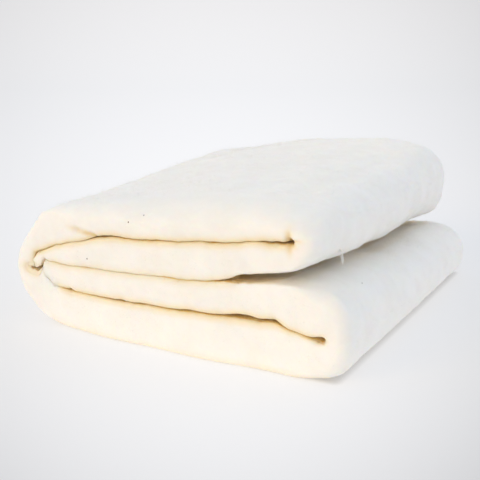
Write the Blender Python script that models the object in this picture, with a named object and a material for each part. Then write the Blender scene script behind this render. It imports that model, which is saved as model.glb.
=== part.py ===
"""A folded length of cotton batting: one thick soft sheet, both ends folded in, then folded shut like a book.

Metres, +Z up. The round spine is at -X, the two folded noses at +X, and the sheet's side edges face -Y
and +Y. Inside this file x runs from the spine and y from the front edge. The finished mesh is moved so that
the origin is at the middle of the underside.
"""

from collections import namedtuple

import bmesh
import bpy
import numpy as np

DEPTH = 0.323
MIDDLE_X = 0.1485
# How round the side edges are: the height that each rounding takes, and how far in it reaches.
SLIT_EDGE = 0.0060
FLOOR_EDGE = 0.0055
NOSE_EDGE = 0.0110
TOP_EDGE = 0.0180
TOP_EDGE_REACH = 0.0320
TOP_EDGE_START = 0.0950
MAX_EDGE_SHARE = 0.68
FACE_CROWN = 0.0016
FIBRE_COLOUR = (0.90, 0.86, 0.77, 1.0)
FIBRE_ROUGHNESS = 0.95

# A slit between two layers: its middle height and its opening, at the front edge and at the back edge.
Slit = namedtuple("Slit", "x height gap back_height back_gap")
LOW_SLIT = (
    Slit(0.030, 0.0412, 0.0008, 0.0300, 0.0008),
    Slit(0.040, 0.0362, 0.0008, 0.0250, 0.0008),
    Slit(0.060, 0.0338, 0.0010, 0.0225, 0.0008),
    Slit(0.100, 0.0314, 0.0014, 0.0215, 0.0008),
    Slit(0.145, 0.0328, 0.0016, 0.0215, 0.0008),
    Slit(0.180, 0.0338, 0.0020, 0.0220, 0.0010),
    Slit(0.205, 0.0351, 0.0030, 0.0225, 0.0010),
    Slit(0.235, 0.0376, 0.0036, 0.0230, 0.0010),
    Slit(0.246, 0.0388, 0.0032, 0.0230, 0.0010),
    Slit(0.256, 0.0346, 0.0012, 0.0228, 0.0010),
    Slit(0.269, 0.0324, 0.0012, 0.0226, 0.0010),
    Slit(0.282, 0.0316, 0.0024, 0.0224, 0.0012),
)
MIDDLE_SLIT = (
    Slit(0.022, 0.0464, 0.0010, 0.0440, 0.0010),
    Slit(0.030, 0.0540, 0.0008, 0.0500, 0.0008),
    Slit(0.040, 0.0549, 0.0008, 0.0495, 0.0008),
    Slit(0.055, 0.0534, 0.0008, 0.0490, 0.0008),
    Slit(0.085, 0.0544, 0.0010, 0.0470, 0.0008),
    Slit(0.110, 0.0554, 0.0010, 0.0460, 0.0008),
    Slit(0.147, 0.0580, 0.0010, 0.0450, 0.0008),
    Slit(0.170, 0.0584, 0.0010, 0.0445, 0.0008),
    Slit(0.185, 0.0600, 0.0012, 0.0445, 0.0010),
    Slit(0.205, 0.0634, 0.0042, 0.0440, 0.0022),
    Slit(0.235, 0.0680, 0.0080, 0.0468, 0.0064),
    Slit(0.255, 0.0712, 0.0105, 0.0495, 0.0090),
)
HIGH_SLIT = (
    Slit(0.019, 0.0564, 0.0010, 0.0600, 0.0010),
    Slit(0.028, 0.0606, 0.0010, 0.0645, 0.0010),
    Slit(0.040, 0.0643, 0.0010, 0.0690, 0.0010),
    Slit(0.060, 0.0705, 0.0010, 0.0740, 0.0010),
    Slit(0.085, 0.0774, 0.0014, 0.0780, 0.0010),
    Slit(0.096, 0.0814, 0.0026, 0.0800, 0.0010),
    Slit(0.120, 0.0828, 0.0018, 0.0820, 0.0010),
    Slit(0.150, 0.0850, 0.0016, 0.0845, 0.0012),
    Slit(0.180, 0.0882, 0.0016, 0.0865, 0.0020),
    Slit(0.205, 0.0898, 0.0018, 0.0880, 0.0036),
    Slit(0.235, 0.0944, 0.0018, 0.0900, 0.0056),
    Slit(0.261, 0.0966, 0.0026, 0.0910, 0.0060),
)

# The top of the pile between the spine and the upper nose.
Top = namedtuple("Top", "x height back_height")
TOP = (
    Top(0.060, 0.1010, 0.1100),
    Top(0.085, 0.1060, 0.1165),
    Top(0.120, 0.1122, 0.1225),
    Top(0.150, 0.1155, 0.1255),
    Top(0.180, 0.1175, 0.1280),
    Top(0.205, 0.1190, 0.1295),
    Top(0.235, 0.1192, 0.1277),
    Top(0.245, 0.1185, 0.1250),
)

# A round fold: where it starts, how far out it reaches and at what height, and how square it is above and
# below.
Fold = namedtuple("Fold", "root reach height square_above square_below")
SPINE = (Fold(0.060, -0.002, 0.0440, 1.65, 1.85), Fold(0.060, -0.006, 0.0500, 2.40, 2.20))
UPPER_NOSE = (Fold(0.245, 0.2805, 0.0970, 2.3, 2.5), Fold(0.245, 0.2768, 0.0970, 2.0, 2.4))
LOWER_NOSE = (Fold(0.262, 0.3040, 0.0330, 2.6, 3.0), Fold(0.262, 0.3020, 0.0240, 2.2, 2.6))

# A free end of the sheet: where its tip is, how high, and over what length it rounds off.
End = namedtuple("End", "tip height back_height length")
UPPER_END = End(0.0170, 0.0525, 0.0540, 0.0070)
LOWER_END = End(0.0295, 0.0475, 0.0400, 0.0080)

# The hollow that the spine keeps open round the two free ends, from the high slit down to the low one.
Hollow = namedtuple("Hollow", "x height back_height")
HOLLOW = (
    Hollow(0.0125, 0.0535, 0.0565),
    Hollow(0.0090, 0.0478, 0.0490),
    Hollow(0.0125, 0.0422, 0.0410),
    Hollow(0.0210, 0.0412, 0.0355),
)

# A short side crease that runs up out of the high slit, where one ply of the sheet has slipped.
CREASE_START = (0.0880, 0.0800)
CREASE_END = (0.0600, 0.0850)
CREASE_DEPTH = 0.0045
CREASE_WIDTH = 0.0042
CREASE_REACH = 0.0140

# Where the ribs of the mesh stand across the pile. Facing sides of a slit share them, so they never touch.
SPINE_RUN = np.linspace(0.048, 0.084, 7)
MIDDLE_RUN = np.linspace(0.090, 0.222, 12)
NOSE_RUN = np.array([0.234, 0.245])
RUN = np.concatenate([SPINE_RUN, MIDDLE_RUN, NOSE_RUN])
UPPER_END_X = np.array([0.0176, 0.0192, 0.022, 0.026, 0.030, 0.035, 0.040])
LOWER_END_X = np.array([0.0300, 0.0315, 0.035, 0.040])
HIGH_CREASE_X = np.array([0.253, 0.261])
LOW_CREASE_X = np.array([0.251, 0.256, 0.264, 0.273, 0.282])
SLIT_SIDES = 4
DEPTH_STATIONS = 11
CORNER_STEPS = 3

# The pile's slow unevenness: an amplitude, and the lengths of its waves across and along the folds.
Wave = namedtuple("Wave", "amplitude across along phase")
HEIGHT_WAVES = (Wave(0.0016, 0.23, 0.31, 0.6), Wave(0.0008, 0.11, 0.17, 2.1))
EDGE_WAVES = (Wave(0.0022, 0.27, 0.60, 1.4), Wave(0.0010, 0.09, 0.40, 4.0))
SIDE_WAVES = (Wave(0.0016, 0.40, 0.24, 2.6), Wave(0.0007, 0.20, 0.10, 0.9))
FLOOR_BLEND = 0.020


def column(rows, name, x):
    """The named column of a table at x, on a smooth curve through its rows."""
    stations = np.array([row.x for row in rows])
    values = np.array([getattr(row, name) for row in rows])
    slopes = np.gradient(values, stations)
    x = np.clip(x, stations[0], stations[-1])
    k = np.clip(np.searchsorted(stations, x, side="right") - 1, 0, len(rows) - 2)
    width = stations[k + 1] - stations[k]
    t = (x - stations[k]) / width
    rise = values[k + 1] - values[k]
    start = width * slopes[k]
    end = width * slopes[k + 1]
    return values[k] + t * (start + t * (3 * rise - 2 * start - end + t * (start + end - 2 * rise)))


def slit_face(rows, x, side, back):
    """Height of the upper (side 1) or lower (side -1) face of a slit at x."""
    prefix = "back_" if back else ""
    middle = column(rows, prefix + "height", x)
    return middle + side * column(rows, prefix + "gap", x) / 2


def top_face(x, back):
    """Height of the top of the pile at x."""
    return column(TOP, "back_height" if back else "height", x)


def fold_arc(fold, below, above, steps, slope=0.0):
    """A round fold from the height below, where the cloth rises by slope, out and round to that above."""
    turn = np.linspace(-np.pi / 2, np.pi / 2, steps)
    square = np.where(turn < 0, fold.square_below, fold.square_above)
    out = np.abs(np.cos(turn)) ** (2 / square)
    up = np.abs(np.sin(turn)) ** (2 / square)
    x = fold.root + (fold.reach - fold.root) * out
    limit = np.where(turn < 0, below + slope * (x - fold.root), above)
    return np.stack([x, fold.height + (limit - fold.height) * up], axis=1)


def crease(rows, back):
    """The closed end of a slit: a few points round it, from its lower face to its upper face."""
    end = rows[-1].x
    middle = column(rows, "back_height" if back else "height", end)
    half = column(rows, "back_gap" if back else "gap", end) / 2
    turn = np.linspace(-np.pi / 2, np.pi / 2, SLIT_SIDES + 1)[1:-1]
    return np.stack([end + half * np.cos(turn), middle + half * np.sin(turn)], axis=1)


def pairs(x, heights):
    """Points (x, height) from two arrays."""
    return np.stack([np.broadcast_to(x, np.shape(heights)), heights], axis=1)


def rounded_end(end, x, below, above, back):
    """The lower and upper faces of the sheet near its free end, drawn together to a round tip."""
    tip = end.back_height if back else end.height
    run = np.clip((x - end.tip) / end.length, 0, 1)
    open_share = np.sqrt(1 - (1 - run) ** 2)
    return tip + (below - tip) * open_share, tip + (above - tip) * open_share


def resample(points, count):
    """The same number of points at even steps along a line of points."""
    along = np.concatenate([[0], np.cumsum(np.hypot(*np.diff(points, axis=0).T))])
    at = np.linspace(0, along[-1], count)
    return np.stack([np.interp(at, along, points[:, 0]), np.interp(at, along, points[:, 1])], axis=1)


def upper_layers(back):
    """Ribs of the sheet from its upper free end, round the upper nose and back over the top to the spine."""
    x = np.concatenate([UPPER_END_X, RUN])
    under = slit_face(MIDDLE_SLIT, x, 1, back)
    over = slit_face(HIGH_SLIT, x, -1, back)
    under, over = rounded_end(UPPER_END, x, under, over, back)
    inner = [pairs(x, over), pairs(HIGH_CREASE_X, slit_face(HIGH_SLIT, HIGH_CREASE_X, -1, back))]
    inner += [crease(HIGH_SLIT, back)]
    returning = np.concatenate([RUN, HIGH_CREASE_X])[::-1]
    inner += [pairs(returning, slit_face(HIGH_SLIT, returning, 1, back))]
    turned = 2 * len(HIGH_CREASE_X) + SLIT_SIDES - 1
    slope = (under[-1] - under[-2]) / (x[-1] - x[-2])
    arc = fold_arc(UPPER_NOSE[back], under[-1], top_face(UPPER_NOSE[back].root, back), turned + 2, slope)
    over_top = np.linspace(RUN[-1], SPINE[back].root, len(RUN))
    outer = [pairs(x, under), arc[1:-1], pairs(over_top, top_face(over_top, back))]
    return np.concatenate(inner), np.concatenate(outer)


def spine_layers(back):
    """Ribs of the round spine, from the top of the pile down to the floor."""
    height = "back_height" if back else "height"
    hollow = np.array([[row.x, getattr(row, height)] for row in HOLLOW])
    above_x = UPPER_END_X[::-1][:-1]
    above = pairs(above_x, slit_face(HIGH_SLIT, above_x, 1, back))
    below = pairs(LOWER_END_X, slit_face(LOW_SLIT, LOWER_END_X, -1, back))
    inner = np.concatenate([above, hollow, below])
    fold = SPINE[back]
    arc = fold_arc(fold, 0.0, top_face(fold.root, back), 4 * len(inner))[::-1]
    return inner, resample(arc, len(inner) + 2)[1:-1]


def lower_layers(back):
    """Ribs of the sheet along the floor, round the lower nose and back to its lower free end."""
    start = SPINE[back].root
    creasing = LOW_CREASE_X
    outgoing = np.concatenate([RUN, creasing])
    inner = [pairs(outgoing, slit_face(LOW_SLIT, outgoing, -1, back)), crease(LOW_SLIT, back)]
    x = np.concatenate([RUN[::-1], LOWER_END_X[::-1]])
    under = slit_face(LOW_SLIT, x, 1, back)
    over = slit_face(MIDDLE_SLIT, x, -1, back)
    under, over = rounded_end(LOWER_END, x, under, over, back)
    inner += [pairs(creasing[::-1], slit_face(LOW_SLIT, creasing[::-1], 1, back)), pairs(x, under)]
    fold = LOWER_NOSE[back]
    floor = pairs(np.linspace(start, fold.root, len(RUN)), np.zeros(len(RUN)))
    turned = 2 * len(creasing) + SLIT_SIDES - 1
    arc = fold_arc(fold, 0.0, slit_face(MIDDLE_SLIT, fold.root, -1, back), turned + 1)[1:]
    return np.concatenate(inner), np.concatenate([floor, arc, pairs(x, over)])


def section(back):
    """All ribs of one end section, as inner and outer points, from one free end of the sheet to the other."""
    parts = [layers(back) for layers in (upper_layers, spine_layers, lower_layers)]
    return np.concatenate([part[0] for part in parts]), np.concatenate([part[1] for part in parts])


def ramp(value, start, end):
    """0 before start, 1 past end, and even between."""
    return np.clip((value - start) / (end - start), 0, 1)


def outer_edges(outer):
    """The height and the reach of the side edge's rounding along the outer face, softest on top."""
    x, z = outer[:, 0], outer[:, 1]
    on_top = ramp(z, TOP_EDGE_START, TOP_EDGE_START + TOP_EDGE)
    at_fold = np.maximum(ramp(x, LOWER_NOSE[0].root, UPPER_NOSE[0].reach), ramp(-x, -SPINE[0].root / 2, 0))
    on_floor = (z < FLOOR_EDGE) * (1 - at_fold)
    height = SLIT_EDGE + np.maximum((TOP_EDGE - SLIT_EDGE) * on_top, (NOSE_EDGE - SLIT_EDGE) * at_fold)
    height += (FLOOR_EDGE - SLIT_EDGE) * on_floor
    return height, height + (TOP_EDGE_REACH - TOP_EDGE) * on_top


def rib_ring(thickness, edge, edge_reach):
    """One closed ring round the sheet, as the share of its thickness from inner to outer face and as y."""
    outer_edge = min(edge, MAX_EDGE_SHARE * thickness)
    outer_reach = edge_reach * outer_edge / edge
    inner_edge = min(SLIT_EDGE, thickness - outer_edge)
    turn = np.linspace(0, np.pi / 2, CORNER_STEPS + 1)
    outer_share = 1 - outer_edge / thickness * (1 - np.sin(turn))
    inner_share = inner_edge / thickness * (1 - np.sin(turn))[::-1]
    middle_share = (inner_share[-1] + outer_share[0]) / 2
    face_share = np.concatenate([inner_share, [middle_share], outer_share])
    face_y = np.concatenate([inner_edge * (1 - np.cos(turn))[::-1], [0.0], outer_reach * (1 - np.cos(turn))])
    face_y -= FACE_CROWN * 4 * face_share * (1 - face_share)
    even = np.linspace(0, 1, DEPTH_STATIONS + 2)[1:-1]
    outer_run = outer_reach + even * (DEPTH - 2 * outer_reach)
    inner_run = inner_edge + even[::-1] * (DEPTH - 2 * inner_edge)
    share = [face_share, np.ones(DEPTH_STATIONS), face_share[::-1], np.zeros(DEPTH_STATIONS)]
    y = [face_y, outer_run, DEPTH - face_y[::-1], inner_run]
    return np.concatenate(share), np.concatenate(y)


def press_crease(x, y, z):
    """How far the side crease pushes the front face in: a soft trough along its line, fading at its end."""
    start, end = np.array(CREASE_START), np.array(CREASE_END)
    line = end - start
    along = np.clip(((x - start[0]) * line[0] + (z - start[1]) * line[1]) / (line @ line), 0, 1)
    away = np.hypot(x - start[0] - along * line[0], z - start[1] - along * line[1])
    return CREASE_DEPTH * (1 - along / 2) * np.exp(-((away / CREASE_WIDTH) ** 2)) * ramp(-y, -CREASE_REACH, 0)


def waves(table, across, along):
    """The sum of a table's slow waves at places across and along the folds."""
    total = 0
    for wave in table:
        turn = 2 * np.pi * (across / wave.across + along / wave.along) + wave.phase
        total = total + wave.amplitude * np.sin(turn)
    return total


def settle(points):
    """Makes the pile a little uneven by one smooth shift of the space round it, with the floor left flat."""
    x, y, z = points.T
    lifted = z / (z + FLOOR_BLEND)
    shift = np.stack(
        [
            waves(SIDE_WAVES, z, y) * lifted,
            waves(EDGE_WAVES, x, z) * (1 - 2 * y / DEPTH),
            waves(HEIGHT_WAVES, x, y) * lifted,
        ],
        axis=1,
    )
    return points + shift


def batting_points():
    """The rings of the whole sheet, ring by ring, in metres."""
    front_inner, front_outer = section(0)
    back_inner, back_outer = section(1)
    thickness = np.hypot(*(front_outer - front_inner).T)
    rings = []
    for k, (edge, reach) in enumerate(zip(*outer_edges(front_outer))):
        share, y = rib_ring(thickness[k], edge, reach)
        share = share[:, None]
        far = ramp(y, 0, DEPTH)[:, None]
        front = front_inner[k] * (1 - share) + front_outer[k] * share
        back = back_inner[k] * (1 - share) + back_outer[k] * share
        x, z = (front * (1 - far) + back * far).T
        rings.append(np.stack([x, y + press_crease(x, y, z), z], axis=1))
    count = len(rings)
    points = settle(np.concatenate(rings)) - np.array([MIDDLE_X, DEPTH / 2, 0.0])
    return points.reshape(count, -1, 3)


def build_mesh(name, rings):
    """A closed mesh of the rings, with each free end of the sheet capped by a strip across its thickness."""
    shape = bmesh.new()
    loops = [[shape.verts.new(point) for point in ring] for ring in rings]
    around = len(loops[0])
    for first, second in zip(loops, loops[1:]):
        for k in range(around):
            following = (k + 1) % around
            shape.faces.new((first[k], first[following], second[following], second[k]))
    for loop in (loops[0], loops[-1]):
        cap_strip(shape, loop)
    bmesh.ops.recalc_face_normals(shape, faces=shape.faces)
    mesh = bpy.data.meshes.new(name)
    shape.to_mesh(mesh)
    shape.free()
    mesh.shade_smooth()
    return mesh


def cap_strip(shape, loop):
    """Closes a ring with faces that join its inner run to its outer run, from front middle to back middle."""
    around = len(loop)
    middle = CORNER_STEPS + 1
    inner = [loop[middle - k] for k in range(around // 2 + 1)]
    outer = [loop[(middle + k) % around] for k in range(around // 2 + 1)]
    shape.faces.new((inner[0], outer[1], inner[1]))
    for k in range(1, around // 2 - 1):
        shape.faces.new((inner[k], outer[k], outer[k + 1], inner[k + 1]))
    shape.faces.new((inner[-2], outer[-2], inner[-1]))


def cotton_material():
    """Plain unbleached cotton."""
    material = bpy.data.materials.new("natural_cotton")
    material.use_nodes = True
    shader = material.node_tree.nodes["Principled BSDF"]
    shader.inputs["Base Color"].default_value = FIBRE_COLOUR
    shader.inputs["Roughness"].default_value = FIBRE_ROUGHNESS
    shader.inputs["Metallic"].default_value = 0.0
    return material


def main():
    for old in list(bpy.data.objects):
        bpy.data.objects.remove(old, do_unlink=True)
    mesh = build_mesh("batting", batting_points())
    mesh.materials.append(cotton_material())
    batting = bpy.data.objects.new("batting", mesh)
    bpy.context.scene.collection.objects.link(batting)


main()
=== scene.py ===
"""The looks of a folded length of natural cotton batting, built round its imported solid.

Metres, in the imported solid's frame: +X from the round spine to the folded noses, +Y along the folds away
from the front side edge, +Z up. The batting is one thick soft sheet. Its section repeats the solid's in finer
steps, and it carries slow lumps, pressed creases, a nap of loose fibres, lint and a few seed flecks.
"""

import logging
import math
from dataclasses import dataclass, field
from enum import Enum
from typing import NamedTuple

import bpy
import numpy as np
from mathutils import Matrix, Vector


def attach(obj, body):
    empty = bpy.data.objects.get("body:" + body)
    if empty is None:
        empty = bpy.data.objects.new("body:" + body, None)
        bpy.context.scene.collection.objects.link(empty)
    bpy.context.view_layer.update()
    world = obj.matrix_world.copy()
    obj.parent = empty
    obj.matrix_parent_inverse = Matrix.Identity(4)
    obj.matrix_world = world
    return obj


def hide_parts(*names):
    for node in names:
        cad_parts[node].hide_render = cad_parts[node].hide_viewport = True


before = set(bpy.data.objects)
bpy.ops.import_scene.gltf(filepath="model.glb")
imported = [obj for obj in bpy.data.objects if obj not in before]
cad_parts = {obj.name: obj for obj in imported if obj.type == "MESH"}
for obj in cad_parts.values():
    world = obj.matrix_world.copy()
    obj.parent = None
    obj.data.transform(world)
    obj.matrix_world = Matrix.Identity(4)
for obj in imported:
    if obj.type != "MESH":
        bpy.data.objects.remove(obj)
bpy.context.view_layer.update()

LOG = logging.getLogger("batting")
BODY = "root"
NODE = "batting"

# A Mix node's sockets go by number, because its kinds share their names: first, second and result.
COLOUR_A, COLOUR_B, COLOUR_MIXED = 6, 7, 2
VALUE_A, VALUE_B, VALUE_MIXED = 2, 3, 0

# These are added to lengths that divide, so that nothing is divided by 0.
LEAST_SPOKE = 1e-12
LEAST_NORMAL = 1e-15


class Slit(NamedTuple):
    """A slit between two layers at one place: its middle height and opening, at the front and back edge."""

    x: float
    height: float
    gap: float
    back_height: float
    back_gap: float


class Top(NamedTuple):
    """The top of the pile at one place, at the front and the back edge."""

    x: float
    height: float
    back_height: float


class Fold(NamedTuple):
    """A round fold: where it starts, its reach and height, and how square it is above and below."""

    root: float
    reach: float
    height: float
    square_above: float
    square_below: float


class FreeEnd(NamedTuple):
    """A free end of the sheet: its tip, the tip's height at both edges, and the length it rounds over."""

    tip: float
    height: float
    back_height: float
    length: float


class Wave(NamedTuple):
    """One slow wave of the pile's unevenness."""

    amplitude: float
    across: float
    along: float
    phase: float


class Gape(NamedTuple):
    """A place where a slit gapes at the front edge: where, the extra opening, and half the place's width."""

    x: float
    extra: float
    width: float


class Swell(NamedTuple):
    """A soft bulge or dip of the pile: its middle, the way that it pushes, and its reach along each axis."""

    middle: tuple[float, float, float]
    push: tuple[float, float, float]
    reach: tuple[float, float, float]


class Press(NamedTuple):
    """A crease pressed into the front edge along a line: its depth at both ends, its width and its painted
    shade.
    """

    start: tuple[float, float, float]
    end: tuple[float, float, float]
    depth: float
    end_depth: float
    width: float
    crease_shade: float


class Region(Enum):
    """A stretch of the batting's surface, as nap and flecks are shared out over it."""

    TOP = "top"
    FRONT = "front"
    BACK = "back"
    NOSES = "noses"
    SPINE = "spine"
    MOUTHS = "mouths"


class SideEdge(Enum):
    """The side edge of the sheet at which the section is read."""

    FRONT = ""
    BACK = "back_"


def hermite(knots: np.ndarray, values: np.ndarray, at: np.ndarray) -> np.ndarray:
    """Reads a smooth curve through its knots: a cubic between each two, with the slopes of its neighbours.

    Args:
        knots: the rising places of the knots.
        values: the curve's value at each knot.
        at: the places to read, held between the first and the last knot.

    Returns:
        The curve's values at those places.
    """
    slopes = np.gradient(values, knots)
    at = np.clip(at, knots[0], knots[-1])
    k = np.clip(np.searchsorted(knots, at, side="right") - 1, 0, len(knots) - 2)
    width = knots[k + 1] - knots[k]
    t = (at - knots[k]) / width
    rise = values[k + 1] - values[k]
    start = width * slopes[k]
    end = width * slopes[k + 1]
    return values[k] + t * (start + t * (3 * rise - 2 * start - end + t * (start + end - 2 * rise)))


def ramp(value: np.ndarray, start: float, end: float) -> np.ndarray:
    """Returns 0 before start, 1 past end, and even steps between."""
    return np.clip((value - start) / (end - start), 0, 1)


def soft_ramp(value: np.ndarray, start: float, end: float) -> np.ndarray:
    """Returns 0 before start and 1 past end, with an S-shaped rise between."""
    t = ramp(value, start, end)
    return t * t * (3 - 2 * t)


def arc_lengths(points: np.ndarray) -> np.ndarray:
    """Returns the length along a line of points at each of them."""
    return np.concatenate([[0], np.cumsum(np.linalg.norm(np.diff(points, axis=0), axis=1))])


def resample(points: np.ndarray, count: int) -> np.ndarray:
    """Reads a line of points at even steps of its length.

    Args:
        points: the line, one point to a row.
        count: how many points to read.

    Returns:
        The points at even steps.
    """
    along = arc_lengths(points)
    at = np.linspace(0, along[-1], count)
    return np.stack([np.interp(at, along, column) for column in points.T], axis=1)


def smooth_line(points: np.ndarray, count: int) -> np.ndarray:
    """Reads a smooth curve through a few points, from the second to the one before the last.

    Args:
        points: the points, whose first and last only steer the curve's ends.
        count: how many points to read.

    Returns:
        The points of the curve, at even steps of the chords' length.
    """
    along = arc_lengths(points)
    at = np.linspace(along[1], along[-2], count)
    return np.stack([hermite(along, column, at) for column in points.T], axis=1)


def pairs(x: np.ndarray, heights: np.ndarray) -> np.ndarray:
    """Returns points (x, height) from two arrays."""
    return np.stack([np.broadcast_to(x, np.shape(heights)), heights], axis=1)


@dataclass
class FoldedSection:
    """The folded sheet at one of its side edges, as ribs that join its inner face to its outer face.

    Places are x from the spine and z from the floor. The inner face lines the two fold-in slits and the
    hollow of the spine. The outer face is the top, the noses, the underside and the middle slit. Where a
    slit's gap is below 0, its two layers are pressed into each other.
    """

    low_slit: tuple[Slit, ...] = (
        Slit(0.0335, 0.0440, -0.0075, 0.0300, 0.0002),
        Slit(0.0380, 0.0400, -0.0072, 0.0260, 0.0002),
        Slit(0.0430, 0.0357, -0.0056, 0.0245, 0.0004),
        Slit(0.0520, 0.0336, 0.0001, 0.0232, 0.0006),
        Slit(0.0600, 0.0331, 0.0004, 0.0225, 0.0008),
        Slit(0.0700, 0.0328, 0.0001, 0.0220, 0.0008),
        Slit(0.0850, 0.0338, 0.0003, 0.0216, 0.0008),
        Slit(0.1000, 0.0338, 0.0007, 0.0215, 0.0008),
        Slit(0.1220, 0.0354, 0.0010, 0.0215, 0.0008),
        Slit(0.1450, 0.0364, 0.0008, 0.0215, 0.0008),
        Slit(0.1800, 0.0370, 0.0010, 0.0220, 0.0010),
        Slit(0.2050, 0.0367, 0.0015, 0.0225, 0.0010),
        Slit(0.2240, 0.0377, 0.0038, 0.0228, 0.0010),
        Slit(0.2350, 0.0376, 0.0022, 0.0230, 0.0010),
        Slit(0.2460, 0.0383, 0.0020, 0.0230, 0.0010),
        Slit(0.2560, 0.0353, 0.0004, 0.0228, 0.0010),
        Slit(0.2690, 0.0329, 0.0003, 0.0226, 0.0010),
        Slit(0.2820, 0.0318, 0.0024, 0.0224, 0.0012),
    )
    middle_slit: tuple[Slit, ...] = (
        Slit(0.0240, 0.0484, 0.0001, 0.0440, 0.0002),
        Slit(0.0300, 0.0487, 0.0001, 0.0455, 0.0002),
        Slit(0.0325, 0.0510, 0.0001, 0.0475, 0.0002),
        Slit(0.0345, 0.0548, 0.0001, 0.0497, 0.0002),
        Slit(0.0385, 0.0541, -0.0002, 0.0495, 0.0004),
        Slit(0.0470, 0.0541, -0.0004, 0.0492, 0.0006),
        Slit(0.0570, 0.0537, -0.0004, 0.0488, 0.0008),
        Slit(0.0700, 0.0549, -0.0003, 0.0478, 0.0008),
        Slit(0.0850, 0.0558, -0.0003, 0.0470, 0.0008),
        Slit(0.1100, 0.0571, -0.0003, 0.0460, 0.0008),
        Slit(0.1280, 0.0590, -0.0002, 0.0455, 0.0008),
        Slit(0.1470, 0.0602, -0.0002, 0.0450, 0.0008),
        Slit(0.1600, 0.0613, -0.0002, 0.0447, 0.0008),
        Slit(0.1720, 0.0609, -0.0005, 0.0445, 0.0008),
        Slit(0.1850, 0.0612, -0.0004, 0.0445, 0.0010),
        Slit(0.1950, 0.0614, 0.0001, 0.0443, 0.0014),
        Slit(0.2050, 0.0624, 0.0014, 0.0440, 0.0022),
        Slit(0.2190, 0.0653, 0.0054, 0.0452, 0.0042),
        Slit(0.2350, 0.0680, 0.0069, 0.0468, 0.0064),
        Slit(0.2550, 0.0719, 0.0093, 0.0495, 0.0090),
    )
    high_slit: tuple[Slit, ...] = (
        Slit(0.0190, 0.0562, 0.0000, 0.0600, 0.0004),
        Slit(0.0280, 0.0609, 0.0001, 0.0645, 0.0006),
        Slit(0.0400, 0.0654, 0.0001, 0.0690, 0.0010),
        Slit(0.0600, 0.0724, 0.0001, 0.0740, 0.0010),
        Slit(0.0850, 0.0786, 0.0005, 0.0780, 0.0010),
        Slit(0.0960, 0.0825, 0.0011, 0.0800, 0.0010),
        Slit(0.1200, 0.0853, 0.0006, 0.0820, 0.0010),
        Slit(0.1500, 0.0881, 0.0005, 0.0845, 0.0012),
        Slit(0.1800, 0.0908, 0.0002, 0.0865, 0.0020),
        Slit(0.2050, 0.0906, 0.0003, 0.0880, 0.0036),
        Slit(0.2350, 0.0949, 0.0003, 0.0900, 0.0056),
        Slit(0.2610, 0.0971, 0.0020, 0.0910, 0.0060),
    )
    top: tuple[Top, ...] = (
        Top(0.060, 0.1010, 0.1100),
        Top(0.085, 0.1060, 0.1165),
        Top(0.120, 0.1122, 0.1225),
        Top(0.150, 0.1155, 0.1255),
        Top(0.180, 0.1175, 0.1280),
        Top(0.205, 0.1190, 0.1295),
        Top(0.235, 0.1192, 0.1277),
        Top(0.245, 0.1185, 0.1250),
    )
    hollow: tuple[Top, ...] = (
        Top(0.0236, 0.0565, 0.0600),
        Top(0.0225, 0.0530, 0.0565),
        Top(0.0212, 0.0503, 0.0530),
        Top(0.0160, 0.0484, 0.0490),
        Top(0.0148, 0.0460, 0.0440),
        Top(0.0170, 0.0425, 0.0390),
        Top(0.0225, 0.0411, 0.0350),
        Top(0.0290, 0.0420, 0.0320),
    )
    low_gapes: tuple[Gape, ...] = (
        Gape(0.0618, 0.0016, 0.0034),
        Gape(0.1155, 0.0012, 0.0040),
        Gape(0.1740, 0.0005, 0.0050),
        Gape(0.2810, 0.0014, 0.0022),
    )
    high_gapes: tuple[Gape, ...] = (
        Gape(0.0985, 0.0006, 0.0060),
        Gape(0.1975, 0.0008, 0.0060),
        Gape(0.2410, 0.0010, 0.0050),
        Gape(0.2510, 0.0007, 0.0035),
    )
    height_wobble: float = 0.00030
    gap_wobble: float = 0.35
    fine_gap: float = 0.0012
    wobble_lengths: tuple[float, ...] = (0.037, 0.021, 0.0125, 0.0083)
    wobble_turn: float = 1000.0
    height_turn: float = 0.4
    gap_turn: float = 1.3
    spine: dict[SideEdge, Fold] = field(default_factory=lambda: {
        SideEdge.FRONT: Fold(0.060, 0.0005, 0.0440, 1.62, 1.85),
        SideEdge.BACK: Fold(0.060, -0.006, 0.0500, 2.40, 2.20),
    })
    upper_nose: dict[SideEdge, Fold] = field(default_factory=lambda: {
        SideEdge.FRONT: Fold(0.245, 0.2805, 0.0970, 2.3, 3.4),
        SideEdge.BACK: Fold(0.245, 0.2758, 0.0970, 2.0, 2.7),
    })
    lower_nose: dict[SideEdge, Fold] = field(default_factory=lambda: {
        SideEdge.FRONT: Fold(0.262, 0.3040, 0.0330, 2.6, 3.0),
        SideEdge.BACK: Fold(0.262, 0.2985, 0.0220, 2.2, 3.4),
    })
    upper_end: FreeEnd = FreeEnd(0.0232, 0.0525, 0.0545, 0.0055)
    lower_end: FreeEnd = FreeEnd(0.0330, 0.0490, 0.0400, 0.0020)
    run_start: float = 0.048
    run_end: float = 0.245
    run_ribs: int = 96
    slope_ribs: int = 6
    upper_end_ribs: int = 16
    lower_end_ribs: int = 10
    end_ease: float = 1.6
    tip_clearance: float = 0.0005
    hollow_ribs: int = 20
    hollow_start: float = 0.0252
    high_crease_ribs: int = 14
    low_crease_ribs: int = 16
    crease_sides: int = 8
    arc_samples: int = 600
    open_room: float = 0.05
    arc_room: float = 0.0095
    shelter_end: float = 0.262

    @property
    def run(self) -> np.ndarray:
        """The ribs' places along the flat layers."""
        return np.linspace(self.run_start, self.run_end, self.run_ribs)

    def end_run(self, end: FreeEnd, ribs: int) -> np.ndarray:
        """Returns the ribs' places from a free end's tip to the flat layers, closest at the tip."""
        start = end.tip + self.tip_clearance
        return start + (self.run_start - start) * np.linspace(0, 1, ribs + 1)[:-1] ** self.end_ease

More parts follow.
